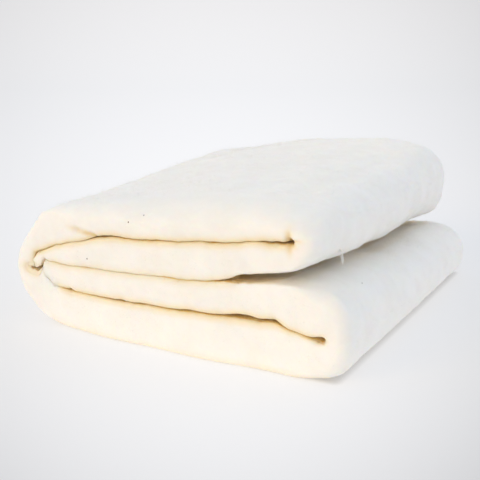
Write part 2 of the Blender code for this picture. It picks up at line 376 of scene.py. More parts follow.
    def column(self, rows: tuple, name: str, x: np.ndarray) -> np.ndarray:
        """Returns the named column of a table at x, on a smooth curve through its rows."""
        stations = np.array([row.x for row in rows])
        return hermite(stations, np.array([getattr(row, name) for row in rows]), x)

    def wobble(self, rows: tuple[Slit, ...], x: np.ndarray, turn: float) -> np.ndarray:
        """Works out a slit's fine unevenness: the mean of a few short sine waves.

        Args:
            rows: the slit's table.
            x: the places to read.
            turn: a shift of the waves, so that height and gap differ.

        Returns:
            The unevenness at x, about -1 to 1.
        """
        phase = turn + self.wobble_turn * rows[0].x
        numbered = enumerate(self.wobble_lengths, start=1)
        waves = [np.sin(2 * math.pi * x / length + phase * k) for k, length in numbered]
        return sum(waves) / len(waves)

    def slit_gap(self, rows: tuple[Slit, ...], x: np.ndarray, edge: SideEdge) -> np.ndarray:
        """Works out a slit's opening: its table, its unevenness and bell curves where the front edge gapes.

        Args:
            rows: the slit's table.
            x: the places to read.
            edge: the side edge that is read.

        Returns:
            The opening at x.
        """
        gap = self.column(rows, edge.value + "gap", x)
        gap = gap + np.minimum(gap, self.fine_gap) * self.gap_wobble * self.wobble(rows, x, self.gap_turn)
        gapes = {self.low_slit: self.low_gapes, self.high_slit: self.high_gapes}.get(rows, ())
        if edge is SideEdge.FRONT:
            gap = gap + sum(gape.extra * np.exp(-(((x - gape.x) / gape.width) ** 2)) for gape in gapes)
        return gap

    def slit_face(self, rows: tuple[Slit, ...], x: np.ndarray, side: int, edge: SideEdge) -> np.ndarray:
        """Works out the height of one face of a slit: its middle, and half its opening up or down.

        Args:
            rows: the slit's table.
            x: the places to read.
            side: 1 for the upper face, -1 for the lower one.
            edge: the side edge that is read.

        Returns:
            The face's height at x.
        """
        middle = self.column(rows, edge.value + "height", x)
        middle = middle + self.height_wobble * self.wobble(rows, x, self.height_turn)
        return middle + side * self.slit_gap(rows, x, edge) / 2

    def top_face(self, x: np.ndarray, edge: SideEdge) -> np.ndarray:
        """Returns the height of the top of the pile."""
        return self.column(self.top, edge.value + "height", x)

    def fold_arc(self, fold: Fold, below: float, above: float, count: int, slope: float = 0.0) -> np.ndarray:
        """Draws a round fold: a superellipse from the height below, out to the reach and round to that above.

        Args:
            fold: the fold's sizes.
            below: the height at which it starts.
            above: the height at which it ends.
            count: how many points to return.
            slope: how fast the cloth below rises outwards.

        Returns:
            Points at even steps along the arc.
        """
        turn = np.linspace(-math.pi / 2, math.pi / 2, self.arc_samples)
        square = np.where(turn < 0, fold.square_below, fold.square_above)
        out = np.abs(np.cos(turn)) ** (2 / square)
        up = np.abs(np.sin(turn)) ** (2 / square)
        x = fold.root + (fold.reach - fold.root) * out
        limit = np.where(turn < 0, below + slope * (x - fold.root), above)
        return resample(np.stack([x, fold.height + (limit - fold.height) * up], axis=1), count)

    def crease(self, rows: tuple[Slit, ...], edge: SideEdge) -> np.ndarray:
        """Draws a half circle round the closed end of a slit, from its lower to its upper face.

        Args:
            rows: the slit's table.
            edge: the side edge that is read.

        Returns:
            The half circle's points, without its two ends.
        """
        end = np.array([rows[-1].x])
        low, high = (self.slit_face(rows, end, side, edge)[0] for side in (-1, 1))
        middle, half = (low + high) / 2, (high - low) / 2
        turn = np.linspace(-math.pi / 2, math.pi / 2, self.crease_sides + 1)[1:-1]
        return np.stack([end[0] + half * np.cos(turn), middle + half * np.sin(turn)], axis=1)

    def rounded_end(self, end: FreeEnd, x: np.ndarray, under: np.ndarray, over: np.ndarray,
                    edge: SideEdge) -> tuple[np.ndarray, np.ndarray]:
        """Draws the lower and upper faces of the sheet together to a round tip, by a quarter ellipse.

        Args:
            end: the free end's sizes.
            x: the ribs' places.
            under: the lower face's heights.
            over: the upper face's heights.
            edge: the side edge that is read.

        Returns:
            The new heights of the lower and of the upper face.
        """
        tip = end.height if edge is SideEdge.FRONT else end.back_height
        run = ramp(x, end.tip, end.tip + end.length)
        open_share = np.sqrt(1 - (1 - run) ** 2)
        return tip + (under - tip) * open_share, tip + (over - tip) * open_share

    def room(self, x: np.ndarray, edge: SideEdge) -> np.ndarray:
        """Returns the middle slit's opening at x."""
        return self.column(self.middle_slit, edge.value + "gap", x)

    def upper_layers(self, edge: SideEdge) -> tuple[np.ndarray, np.ndarray, np.ndarray]:
        """Lays the ribs from the upper free end, round the upper nose and back over the top to the spine.

        Args:
            edge: the side edge that is read.

        Returns:
            The ribs' inner points, their outer points, and the free room in front of each outer point.
        """
        x = np.concatenate([self.end_run(self.upper_end, self.upper_end_ribs), self.run])
        under = self.slit_face(self.middle_slit, x, 1, edge)
        over = self.slit_face(self.high_slit, x, -1, edge)
        under, over = self.rounded_end(self.upper_end, x, under, over, edge)
        creasing = np.linspace(self.run_end, self.high_slit[-1].x, self.high_crease_ribs + 1)[1:]
        returning = np.concatenate([self.run, creasing])[::-1]
        inner = [
            pairs(x, over),
            pairs(creasing, self.slit_face(self.high_slit, creasing, -1, edge)),
            self.crease(self.high_slit, edge),
            pairs(returning, self.slit_face(self.high_slit, returning, 1, edge)),
        ]
        turned = 2 * len(creasing) + self.crease_sides - 1
        slope = (under[-1] - under[-self.slope_ribs]) / (x[-1] - x[-self.slope_ribs])
        fold = self.upper_nose[edge]
        above = float(self.top_face(np.array([fold.root]), edge)[0])
        arc = self.fold_arc(fold, float(under[-1]), above, turned + 2, float(slope))
        over_top = np.linspace(self.run_end, self.spine[edge].root, self.run_ribs)
        outer = [pairs(x, under), arc[1:-1], pairs(over_top, self.top_face(over_top, edge))]
        ledge = self.slit_face(self.middle_slit, arc[1:-1, 0], -1, edge)
        above_ledge = np.clip(arc[1:-1, 1] - ledge, self.arc_room, self.open_room)
        room = [self.room(x, edge), above_ledge, np.full(len(over_top), self.open_room)]
        return np.concatenate(inner), np.concatenate(outer), np.concatenate(room)

    def spine_layers(self, edge: SideEdge) -> tuple[np.ndarray, np.ndarray, np.ndarray]:
        """Lays the ribs of the round spine, from the top of the pile down to the floor.

        Args:
            edge: the side edge that is read.

        Returns:
            The ribs' inner points, their outer points, and the free room in front of each outer point.
        """
        height = edge.value + "height"
        above_x = self.end_run(self.upper_end, self.upper_end_ribs)[::-1]
        above_x = above_x[above_x > self.hollow_start]
        above = pairs(above_x, self.slit_face(self.high_slit, above_x, 1, edge))
        below_x = self.end_run(self.lower_end, self.lower_end_ribs)
        below = pairs(below_x, self.slit_face(self.low_slit, below_x, -1, edge))
        rows = np.array([[row.x, getattr(row, height)] for row in self.hollow])
        line = smooth_line(np.concatenate([above[-2:], rows, below[:2]]), self.hollow_ribs + 2)
        inner = np.concatenate([above, line[1:-1], below])
        fold = self.spine[edge]
        above_root = float(self.top_face(np.array([fold.root]), edge)[0])
        arc = self.fold_arc(fold, 0.0, above_root, len(inner) + 2)[::-1]
        return inner, arc[1:-1], np.full(len(inner), self.open_room)

    def lower_layers(self, edge: SideEdge) -> tuple[np.ndarray, np.ndarray, np.ndarray]:
        """Lays the ribs along the floor, round the lower nose and back to the lower free end.

        Args:
            edge: the side edge that is read.

        Returns:
            The ribs' inner points, their outer points, and the free room in front of each outer point.
        """
        creasing = np.linspace(self.run_end, self.low_slit[-1].x, self.low_crease_ribs + 1)[1:]
        outgoing = np.concatenate([self.run, creasing])
        x = np.concatenate([self.run[::-1], self.end_run(self.lower_end, self.lower_end_ribs)[::-1]])
        under = self.slit_face(self.low_slit, x, 1, edge)
        over = self.slit_face(self.middle_slit, x, -1, edge)
        under, over = self.rounded_end(self.lower_end, x, under, over, edge)
        inner = [
            pairs(outgoing, self.slit_face(self.low_slit, outgoing, -1, edge)),
            self.crease(self.low_slit, edge),
            pairs(creasing[::-1], self.slit_face(self.low_slit, creasing[::-1], 1, edge)),
            pairs(x, under),
        ]
        fold = self.lower_nose[edge]
        floor_x = np.linspace(self.spine[edge].root, fold.root, self.run_ribs)
        turned = 2 * len(creasing) + self.crease_sides - 1
        above = float(self.slit_face(self.middle_slit, np.array([fold.root]), -1, edge)[0])
        back = np.linspace(fold.root, self.run_end, self.crease_sides)[1:]
        line = [self.fold_arc(fold, 0.0, above, self.arc_samples)]
        line.append(pairs(back, self.slit_face(self.middle_slit, back, -1, edge)))
        arc = resample(np.concatenate(line), turned + 2)[1:-1]
        outer = [pairs(floor_x, np.zeros(self.run_ribs)), arc, pairs(x, over)]
        ceiling = self.slit_face(self.middle_slit, arc[:, 0], 1, edge)
        beyond = np.clip(arc[:, 0] - self.shelter_end, 0, None)
        under_ceiling = np.clip(ceiling - arc[:, 1] + beyond, self.arc_room, self.open_room)
        room = [np.full(self.run_ribs, self.open_room), under_ceiling, self.room(x, edge)]
        return np.concatenate(inner), np.concatenate(outer), np.concatenate(room)

    def ribs(self, edge: SideEdge) -> tuple[np.ndarray, np.ndarray, np.ndarray]:
        """Lays all ribs, from one free end of the sheet to the other.

        Args:
            edge: the side edge that is read.

        Returns:
            The ribs' inner points, their outer points, and the free room in front of each outer point.
        """
        parts = [layers(edge) for layers in (self.upper_layers, self.spine_layers, self.lower_layers)]
        inner, outer, room = (np.concatenate([part[k] for part in parts]) for k in range(3))
        return inner, outer, room


@dataclass(frozen=True)
class SoftNoise:
    """Smooth noise in space: a sum of waves of about one length that run in random directions."""

    wavelength: float
    seed: int
    waves: int = 36
    spread: float = 0.45

    def at(self, points: np.ndarray) -> np.ndarray:
        """Sums the waves' sines at some places.

        Args:
            points: the places, as an array (..., 3).

        Returns:
            The noise at each place, about -1 to 1 most of the time.
        """
        draw = np.random.default_rng(self.seed)
        direction = draw.normal(size=(self.waves, 3))
        direction /= np.linalg.norm(direction, axis=1, keepdims=True)
        lengths = self.wavelength * np.exp(draw.normal(0, self.spread, self.waves))
        phase = draw.uniform(0, 2 * math.pi, self.waves)
        turn = points @ (direction / lengths[:, None]).T * 2 * math.pi + phase
        return np.sin(turn).sum(axis=-1) / math.sqrt(self.waves)


@dataclass
class Surface:
    """A built surface as arrays, from which loose fibres, lint and flecks take their places."""

    points: np.ndarray
    normals: np.ndarray
    quads: np.ndarray
    closeness: np.ndarray
    # The painted shade at each point: warm shade and glow in the folds.
    painted_shade: np.ndarray
    region: dict[Region, np.ndarray]

    def scatter(self, weights: np.ndarray, count: int,
                draw: np.random.Generator) -> tuple[np.ndarray, np.ndarray, np.ndarray]:
        """Picks random places on the surface, evenly over its area times a weight for each face.

        Args:
            weights: one weight to a face.
            count: how many places to pick.
            draw: the source of random numbers.

        Returns:
            The places, the surface's normals there, and the painted shade there.
        """
        corners = self.points[self.quads]
        area = np.linalg.norm(np.cross(corners[:, 2] - corners[:, 0], corners[:, 3] - corners[:, 1]), axis=1)
        chance = np.cumsum(area * weights)
        face = self.quads[np.searchsorted(chance, draw.random(count) * chance[-1])]
        u, v = draw.random((2, count, 1))
        shares = ((1 - u) * (1 - v), u * (1 - v), u * v, (1 - u) * v)
        place = sum(share * self.points[face[:, k]] for k, share in enumerate(shares))
        normal = sum(share * self.normals[face[:, k]] for k, share in enumerate(shares))
        return place, normal / np.linalg.norm(normal, axis=1, keepdims=True), self.painted_shade[face].mean(axis=1)

    def nearest(self, places: np.ndarray) -> tuple[np.ndarray, np.ndarray]:
        """Returns the surface's points nearest to some places, and the normals there."""
        found = np.array([np.argmin(((self.points - place) ** 2).sum(axis=1)) for place in places])
        return self.points[found], self.normals[found]


def strand_mesh(paths: np.ndarray, radii: np.ndarray) -> tuple[np.ndarray, np.ndarray]:
    """Makes closed three-sided strands: a small triangle is carried along each path and drawn to a point.

    Args:
        paths: the strands' points, as an array (strands, points, 3).
        radii: the radius at each point but the last, as an array (strands, points - 1).

    Returns:
        All points, and all triangles as rows of three indices.
    """
    strands, count = paths.shape[:2]
    tangent = np.gradient(paths, axis=1)
    tangent /= np.linalg.norm(tangent, axis=2, keepdims=True)
    chord = paths[:, -1] - paths[:, 0]
    aside = np.cross(chord, np.roll(chord, 1, axis=1) * np.array([1, -1, 1]))[:, None, :]
    first = np.cross(tangent, np.broadcast_to(aside, tangent.shape))
    first /= np.linalg.norm(first, axis=2, keepdims=True) + LEAST_SPOKE
    second = np.cross(tangent, first)
    turn = np.arange(3) * 2 * math.pi / 3
    spokes = first[:, :-1, None, :] * np.cos(turn)[:, None] + second[:, :-1, None, :] * np.sin(turn)[:, None]
    rings = paths[:, :-1, None, :] + spokes * radii[:, :, None, None]
    points = np.concatenate([rings.reshape(strands, -1, 3), paths[:, -1:]], axis=1)
    faces = [(2, 1, 0)]
    for ring in range(count - 2):
        for side in range(3):
            a, b = 3 * ring + side, 3 * ring + (side + 1) % 3
            faces += [(a, b, b + 3), (a, b + 3, a + 3)]
    last, tip = 3 * (count - 2), 3 * (count - 1)
    faces += [(last + side, last + (side + 1) % 3, tip) for side in range(3)]
    offsets = np.arange(strands)[:, None, None] * (tip + 1)
    return points.reshape(-1, 3), (np.array(faces)[None] + offsets).reshape(-1, 3)


def add_painted_shade(mesh: bpy.types.Mesh, painted_shade: np.ndarray) -> None:
    """Stores each point's painted warm shade and glow as the attribute that the cotton's finish reads."""
    attribute = mesh.attributes.new("painted_shade", "FLOAT", "POINT")
    attribute.data.foreach_set("value", painted_shade.reshape(-1).astype(np.float32))


def link_mesh(name: str, points: np.ndarray, faces: np.ndarray,
              material: bpy.types.Material) -> bpy.types.Object:
    """Puts a mesh into the scene, shaded smooth, at the origin.

    Args:
        name: the piece's name.
        points: its points.
        faces: its faces, as rows of indices.
        material: its finish.

    Returns:
        The new object.
    """
    mesh = bpy.data.meshes.new(name)
    mesh.from_pydata(points.tolist(), [], faces.tolist())
    mesh.update()
    mesh.shade_smooth()
    mesh.materials.append(material)
    piece = bpy.data.objects.new(name, mesh)
    bpy.context.scene.collection.objects.link(piece)
    return piece


@dataclass
class Batting:
    """The folded sheet: a closed ring round the sheet's thickness, carried along its ribs."""

    depth: float = 0.323
    middle_x: float = 0.1485
    slit_edge: float = 0.0026
    lip_edge: float = 0.0018
    tight_edge: float = 0.0024
    tight_start: float = 0.0018
    tight_end: float = 0.0060
    seam_edge: float = 0.0006
    seam_pale: float = 0.35
    seam_places: tuple[tuple[float, float], ...] = ((0.0385, 0.0400), (0.0335, 0.0510))
    seam_reach: float = 0.0085
    floor_edge: float = 0.0030
    nose_edge: float = 0.0110
    top_edge: float = 0.0180
    top_edge_reach: float = 0.0320
    top_edge_start: float = 0.0950
    lip_turn: float = 0.5
    max_edge_share: float = 0.68
    max_round_share: float = 0.92
    face_crown: float = 0.0016
    seam_flat: float = 0.95
    thin_layer: float = 0.018
    thick_layer: float = 0.030
    floor_blend: float = 0.020
    corner_steps: int = 9
    face_steps: int = 8
    outer_steps: int = 92
    outer_ease: float = 0.4
    inner_steps: int = 18
    height_waves: tuple[Wave, ...] = (Wave(0.0016, 0.23, 0.31, 0.6), Wave(0.0008, 0.11, 0.17, 2.1))
    edge_waves: tuple[Wave, ...] = (Wave(0.0022, 0.27, 0.60, 1.4), Wave(0.0010, 0.09, 0.40, 4.0))
    side_waves: tuple[Wave, ...] = (Wave(0.0016, 0.40, 0.24, 2.6), Wave(0.0007, 0.20, 0.10, 0.9))
    lumps: tuple[tuple[float, SoftNoise], ...] = (
        (0.00040, SoftNoise(0.055, 11)),
        (0.00014, SoftNoise(0.024, 12)),
        (0.00007, SoftNoise(0.011, 13)),
    )
    flat_room: float = 0.008
    shiver: tuple[tuple[float, float], ...] = ((0.00035, 0.030), (0.00016, 0.012))
    shiver_seed: int = 40
    mouth_reach: float = 0.0016
    tight_room: float = 0.0012
    free_room: float = 0.0062
    # Painted shade: warm shade deep in closed-in slits, a painted glow at lips and ledges, and painted shade
    # along the floor edge, paler at seams and in the hollow.
    painted_shade_room: float = 0.0118
    painted_shade_start: float = 0.0002
    painted_shade_end: float = 0.0020
    glow_reach: float = 0.0036
    slit_glow: float = 0.55
    ledge_glow: float = 0.36
    floor_glow: float = 0.30
    hollow_axis: tuple[float, float] = (0.0225, 0.0455)
    hollow_reach: float = 0.0130
    hollow_close: float = 0.96
    hollow_mouth: float = 0.0005
    hollow_pale: float = 1.0
    swells: tuple[Swell, ...] = (
        Swell((0.038, 0.172, 0.100), (-0.0005, 0.0, 0.0044), (0.045, 0.064, 0.050)),
        Swell((0.036, 0.318, 0.108), (0.0, 0.0, -0.0050), (0.016, 0.022, 0.030)),
        Swell((0.084, 0.305, 0.116), (0.0, 0.0, -0.0020), (0.024, 0.030, 0.030)),
        Swell((0.040, 0.010, 0.097), (-0.0003, 0.0, 0.0011), (0.022, 0.050, 0.018)),
        Swell((0.014, 0.0, 0.080), (0.0024, 0.0, -0.0010), (0.024, 0.080, 0.024)),
        Swell((0.264, 0.305, 0.062), (0.0, 0.0, -0.0034), (0.022, 0.035, 0.014)),
        Swell((0.185, 0.300, 0.125), (0.0, 0.0, 0.0040), (0.075, 0.100, 0.050)),
        Swell((0.300, 0.300, 0.030), (-0.0006, 0.0, 0.0), (0.030, 0.060, 0.025)),
        Swell((0.278, 0.300, 0.045), (0.0, 0.0, 0.0034), (0.030, 0.060, 0.020)),
        Swell((0.276, 0.075, 0.080), (0.0, 0.0, -0.0024), (0.025, 0.045, 0.014)),
    )
    # The last column of each crease is the strength of its painted shade.
    presses: tuple[Press, ...] = (
        Press((0.0925, 0.0, 0.0826), (0.0780, 0.0, 0.0858), 0.0036, 0.0018, 0.0026, 0.75),
        Press((0.0780, 0.0, 0.0858), (0.0655, 0.0, 0.0872), 0.0018, 0.0004, 0.0021, 0.42),
        Press((0.0905, 0.0, 0.0822), (0.0835, 0.0, 0.0815), 0.0012, 0.0003, 0.0036, 0.35),
        Press((0.0180, 0.0, 0.0468), (0.0290, 0.0, 0.0462), 0.0009, 0.0006, 0.0036, 0.34),
        Press((0.2590, 0.0, 0.0985), (0.2598, 0.0, 0.1082), 0.0032, 0.0003, 0.0026, 1.00),
        Press((0.2592, 0.0, 0.0975), (0.2600, 0.0, 0.0895), 0.0040, 0.0006, 0.0026, 1.00),
        Press((0.2600, 0.0, 0.0988), (0.2722, 0.0, 0.1009), 0.0018, 0.0001, 0.0015, 0.70),
        Press((0.2480, 0.0, 0.0955), (0.2495, 0.0, 0.0950), 0.0014, 0.0014, 0.0018, 0.60),
        Press((0.0612, 0.0, 0.0330), (0.0622, 0.0, 0.0310), 0.0026, 0.0012, 0.0024, 0.70),
        Press((0.2795, 0.0, 0.0312), (0.2832, 0.0, 0.0318), 0.0034, 0.0030, 0.0024, 0.90),
        Press((0.2450, 0.0, 0.0400), (0.2484, 0.0, 0.0404), 0.0018, 0.0010, 0.0020, 0.60),
    )
    side_band: float = 0.012
    side_facing: float = 0.35
    top_facing: float = 0.35
    floor_band: float = 0.002
    top_from: float = 0.085
    noses_from: float = 0.04
    spine_to: float = -0.08
    mouth_closeness: tuple[float, float] = (0.12, 0.85)
    section: FoldedSection = field(default_factory=FoldedSection)

    @property
    def origin(self) -> np.ndarray:
        """The shift from the section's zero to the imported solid's origin."""
        return np.array([self.middle_x, self.depth / 2, 0.0])

    def seam(self, face: np.ndarray) -> np.ndarray:
        """Returns how near points are to the free ends' tight seams, 0 to 1, by a flat-topped bell curve."""
        away = [np.linalg.norm(face - np.array(place), axis=1) for place in self.seam_places]
        return np.exp(-((np.minimum(*away) / self.seam_reach) ** 4))

    def outer_edges(self, outer: np.ndarray, room: np.ndarray) -> tuple[np.ndarray, np.ndarray]:
        """Works out how round the side edge is along the outer face: soft on top and at the folds.

        Args:
            outer: the ribs' outer points at the front edge.
            room: the free room in front of each.

        Returns:
            The height and the reach of each rib's rounding.
        """
        x, z = outer.T
        section = self.section
        lower, upper = section.lower_nose[SideEdge.FRONT], section.upper_nose[SideEdge.FRONT]
        on_top = ramp(z, self.top_edge_start, self.top_edge_start + self.top_edge)
        at_spine = ramp(-x, -section.spine[SideEdge.FRONT].root / 2, 0)
        at_fold = np.maximum(ramp(x, lower.root, upper.reach), at_spine)
        on_floor = (z < self.floor_edge) * (1 - at_fold)
        top_gain = (self.top_edge - self.slit_edge) * on_top
        height = self.slit_edge + np.maximum(top_gain, (self.nose_edge - self.slit_edge) * at_fold)
        height += (self.floor_edge - self.slit_edge) * on_floor
        height += (self.tight_edge - self.slit_edge) * (1 - soft_ramp(room, self.tight_start, self.tight_end))
        in_slit = room < self.section.open_room
        height += (self.seam_edge - height) * self.seam(outer) * in_slit
        return height, height + (self.top_edge_reach - self.top_edge) * on_top

    def inner_edges(self, inner: np.ndarray, outer: np.ndarray) -> np.ndarray:
        """Works out how round the side edge is along the inner face: tight at seams and where it faces down.

        Args:
            inner: the ribs' inner points at the front edge.
            outer: their outer points.

        Returns:
            The radius of each rib's rounding.
        """
        out = outer - inner
        down = soft_ramp(out[:, 1] / np.linalg.norm(out, axis=1), -self.lip_turn, self.lip_turn)
        radius = self.slit_edge + (self.lip_edge - self.slit_edge) * down
        return radius + (self.seam_edge - radius) * self.seam(inner)

    def ring_shares(self, thickness: np.ndarray, crown: np.ndarray, mouth: np.ndarray, edge: np.ndarray,
                    reach: np.ndarray) -> tuple[np.ndarray, np.ndarray]:
        """Lays a closed ring round the sheet at each rib: front face, outer run, back face and inner run.

        The roundings are quarter ellipses, and a side face bulges by a parabola that is 0 at both its ends.

        Args:
            thickness: each rib's length.
            crown: how far each rib's side face bulges.
            mouth: the radius of each rib's inner rounding.
            edge: the height of each rib's outer rounding.
            reach: how far in that rounding reaches.

        Returns:
            Each ring point's share of the thickness from inner to outer face, and its y.
        """
        outer_edge = np.minimum(edge, self.max_edge_share * thickness)
        outer_reach = (reach * outer_edge / edge)[:, None]
        inner_edge = np.minimum(mouth, self.max_round_share * thickness - outer_edge)[:, None]
        turn = np.linspace(0, math.pi / 2, self.corner_steps + 1)
        outer_share = 1 - outer_edge[:, None] / thickness[:, None] * (1 - np.sin(turn))
        inner_share = inner_edge / thickness[:, None] * (1 - np.sin(turn))[::-1]
        across = np.linspace(0, 1, self.face_steps + 2)[1:-1]
        face = inner_share[:, -1:] + (outer_share[:, :1] - inner_share[:, -1:]) * across
        face_share = np.concatenate([inner_share, face, outer_share], axis=1)
        inner_y = inner_edge * (1 - np.cos(turn))[::-1]
        outer_y = outer_reach * (1 - np.cos(turn))
        face_y = np.concatenate([inner_y, np.zeros_like(face), outer_y], axis=1)
        face_y = face_y - crown[:, None] * 4 * face_share * (1 - face_share)
        even = np.linspace(0, 1, self.outer_steps + 2)[1:-1]
        even = even + self.outer_ease * ((1 - np.cos(math.pi * even)) / 2 - even)
        eased = (1 - np.cos(math.pi * np.linspace(0, 1, self.inner_steps + 2)[1:-1])) / 2
        outer_run = outer_reach + even * (self.depth - 2 * outer_reach)
        inner_run = inner_edge + eased[::-1] * (self.depth - 2 * inner_edge)
        share = [face_share, np.ones_like(outer_run), face_share[:, ::-1], np.zeros_like(inner_run)]
        y = [face_y, outer_run, self.depth - face_y[:, ::-1], inner_run]
        return np.concatenate(share, axis=1), np.concatenate(y, axis=1)

    def waves(self, table: tuple[Wave, ...], across: np.ndarray, along: np.ndarray) -> np.ndarray:
        """Returns the sum of a table's slow waves at places across and along the folds."""
        turns = [2 * math.pi * (across / wave.across + along / wave.along) + wave.phase for wave in table]
        return sum(wave.amplitude * np.sin(turn) for wave, turn in zip(table, turns))

    def settle(self, points: np.ndarray) -> np.ndarray:
        """Makes the pile a little uneven by one smooth shift of the space round it, as the solid is.

        The shift sums slow sine waves, bell-shaped swells and a fine soft noise.

        Args:
            points: the rings' points, before they are moved to the solid's origin.

        Returns:
            The shifted points, with the floor left flat.
        """
        x, y, z = np.moveaxis(points, -1, 0)
        lifted = z / (z + self.floor_blend)
        shift = [
            self.waves(self.side_waves, z, y) * lifted,
            self.waves(self.edge_waves, x, z) * (1 - 2 * y / self.depth),
            self.waves(self.height_waves, x, y) * lifted,
        ]
        for swell in self.swells:
            away = (points - np.array(swell.middle)) / np.array(swell.reach)
            bell = np.exp(-(away ** 2).sum(axis=-1))
            shift = [moved + push * bell for moved, push in zip(shift, swell.push)]
        for k, (amplitude, wavelength) in enumerate(self.shiver):
            for axis in range(3):
                noise = SoftNoise(wavelength, self.shiver_seed + 3 * k + axis)
                shift[axis] = shift[axis] + amplitude * lifted * noise.at(points)
        return points + np.stack(shift, axis=-1)

    def normals_of(self, grid: np.ndarray) -> np.ndarray:
        """Works out the outward normals of the rings by the cross product of the grid's two directions.

        Args:
            grid: the rings' points (ribs, ring, 3).

        Returns:
            A unit normal for each point.
        """
        round_ring = np.roll(grid, -1, axis=1) - np.roll(grid, 1, axis=1)
        along = np.gradient(grid, axis=0)
        normal = np.cross(round_ring, along)
        return normal / (np.linalg.norm(normal, axis=2, keepdims=True) + LEAST_NORMAL)

    def press(self, points: np.ndarray) -> tuple[np.ndarray, np.ndarray]:
        """Sums the front edge's creases: each falls off from its line by a bell curve of the distance.

        Args:
            points: the places to read, from the section's zero.

        Returns:
            How far each place is pushed in along Y, and how strong its painted crease shade is.
        """
        total = np.zeros(points.shape[:-1])
        crease_shade = np.zeros(points.shape[:-1])
        for crease in self.presses:
            start, end = np.array(crease.start), np.array(crease.end)
            line = end - start
            along = np.clip((points - start) @ line / (line @ line), 0, 1)
            away = np.linalg.norm((points - start - along[..., None] * line)[..., (0, 2)], axis=-1)
            near = points[..., 1] < self.depth / 2
            bell = np.exp(-((away / crease.width) ** 2)) * near
            total += (crease.depth + (crease.end_depth - crease.depth) * along) * bell
            fading = 1 + (crease.end_depth / crease.depth - 1) * along
            crease_shade = np.maximum(crease_shade, crease.crease_shade * fading * bell)
        return total, crease_shade

    def close_hollow(self, points: np.ndarray) -> np.ndarray:
        """Draws the spine's hollow together behind its mouths, so that a shallow dimple shows.

        Args:
            points: the rings' points, from the section's zero.

        Returns:
            The points, moved towards the hollow's axis by a share that fades with the distance from it.
        """
        aside = points[..., (0, 2)] - np.array(self.hollow_axis)
        away = np.clip(np.linalg.norm(aside, axis=-1) / self.hollow_reach, 0, 1)
        inward = np.minimum(points[..., 1], self.depth - points[..., 1])
        share = self.hollow_close * (1 - away ** 2) ** 2 * soft_ramp(inward, 0, self.hollow_mouth)
        moved = points.copy()
        moved[..., (0, 2)] -= aside * share[..., None]
        return moved

    def lip_glow(self, share: np.ndarray, thickness: np.ndarray, room: np.ndarray,
                 height: np.ndarray) -> np.ndarray:
        """Works out the painted warm glow at the slits' lips and painted shade along the floor, by a bell
        curve of the distance.

        Args:
            share: each point's share of the thickness, from the inner to the outer face.
            thickness: each rib's length.
            room: the free room in front of the outer face.
            height: each rib's outer height above the floor.

        Returns:
            The painted glow and shade at each point, from 0 to 1.
        """
        inner = self.slit_glow * np.exp(-((share * thickness / self.glow_reach) ** 2))
        near_outer = np.exp(-(((1 - share) * thickness / self.glow_reach) ** 2))
        ledge = self.ledge_glow * (1 - soft_ramp(room, self.tight_room, self.free_room))
        floor = self.floor_glow * (height < self.floor_edge)
        return np.maximum(inner, near_outer * np.maximum(ledge, floor))

    def sealed(self, inner: np.ndarray, outer: np.ndarray, share: np.ndarray) -> np.ndarray:
        """Works out where the layers press together without a painted crease shade: at the seams and in the
        hollow.

        Args:
            inner: the ribs' inner points at the front edge.
            outer: their outer points.
            share: each ring point's share of the thickness, from the inner to the outer face.

        Returns:
            How sealed each ring point is, from 0 to 1.
        """
        away = np.linalg.norm(inner - np.array(self.hollow_axis), axis=1) / self.hollow_reach
        hollow = self.hollow_pale * np.exp(-(away ** 4))
        at_inner = np.maximum(self.seam(inner), hollow)[:, None] * (1 - share)
        return np.maximum(at_inner, self.seam(outer)[:, None] * share)

    def grid(self) -> tuple[np.ndarray, np.ndarray, np.ndarray]:
        """Works out the sheet's rings: ribs lofted from the front to the back section, settled and pressed.

        Returns:
            The points (ribs, ring, 3) from the section's zero, how closed in each is, and its painted shade.
        """
        front_inner, front_outer, room = self.section.ribs(SideEdge.FRONT)
        back_inner, back_outer, back_room = self.section.ribs(SideEdge.BACK)
        thickness = np.linalg.norm(front_outer - front_inner, axis=1)
        thick = soft_ramp(thickness, self.thin_layer, self.thick_layer)
        crown = self.face_crown * (1 - self.seam_flat * self.seam(front_inner) * thick)
        mouth = self.inner_edges(front_inner, front_outer)
        share, y = self.ring_shares(thickness, crown, mouth, *self.outer_edges(front_outer, room))
        far = ramp(y, 0, self.depth)
        loft = far[..., None]
        part = share[..., None]
        front = front_inner[:, None] * (1 - part) + front_outer[:, None] * part
        back = back_inner[:, None] * (1 - part) + back_outer[:, None] * part
        x, z = np.moveaxis(front * (1 - loft) + back * loft, -1, 0)
        points = self.close_hollow(np.stack([x, y, z], axis=-1))
        room = room[:, None] * (1 - far) + back_room[:, None] * far
        glow = self.lip_glow(share, thickness[:, None], room, front_outer[:, 1:])
        room = room * share
        inward = np.minimum(y, self.depth - y)
        at_mouth = np.exp(-((np.maximum(inward, 0) / self.mouth_reach) ** 2))
        openness = np.maximum(at_mouth, soft_ramp(room, self.tight_room, self.free_room))
        pressed, crease_shade = self.press(points)
        # Painted shade: warm shade deep in closed-in slits, the painted crease shade and the painted glow at
        # lips, ledges and the floor edge, paler where layers are sealed.
        closed = 1 - soft_ramp(room, self.tight_room, self.painted_shade_room)
        inside = closed * soft_ramp(inward, self.painted_shade_start, self.painted_shade_end)
        painted_shade = np.maximum(inside, np.maximum(crease_shade, glow))
        painted_shade = painted_shade * (1 - self.seam_pale * self.sealed(front_inner, front_outer, share))
        settled = self.settle(points)
        relief = sum(amplitude * noise.at(points) for amplitude, noise in self.lumps)
        relief = relief * openness * ramp(points[..., 2], 0, self.flat_room)
        settled = settled + self.normals_of(settled) * relief[..., None]
        settled[..., 1] += pressed
        return settled, 1 - openness, painted_shade

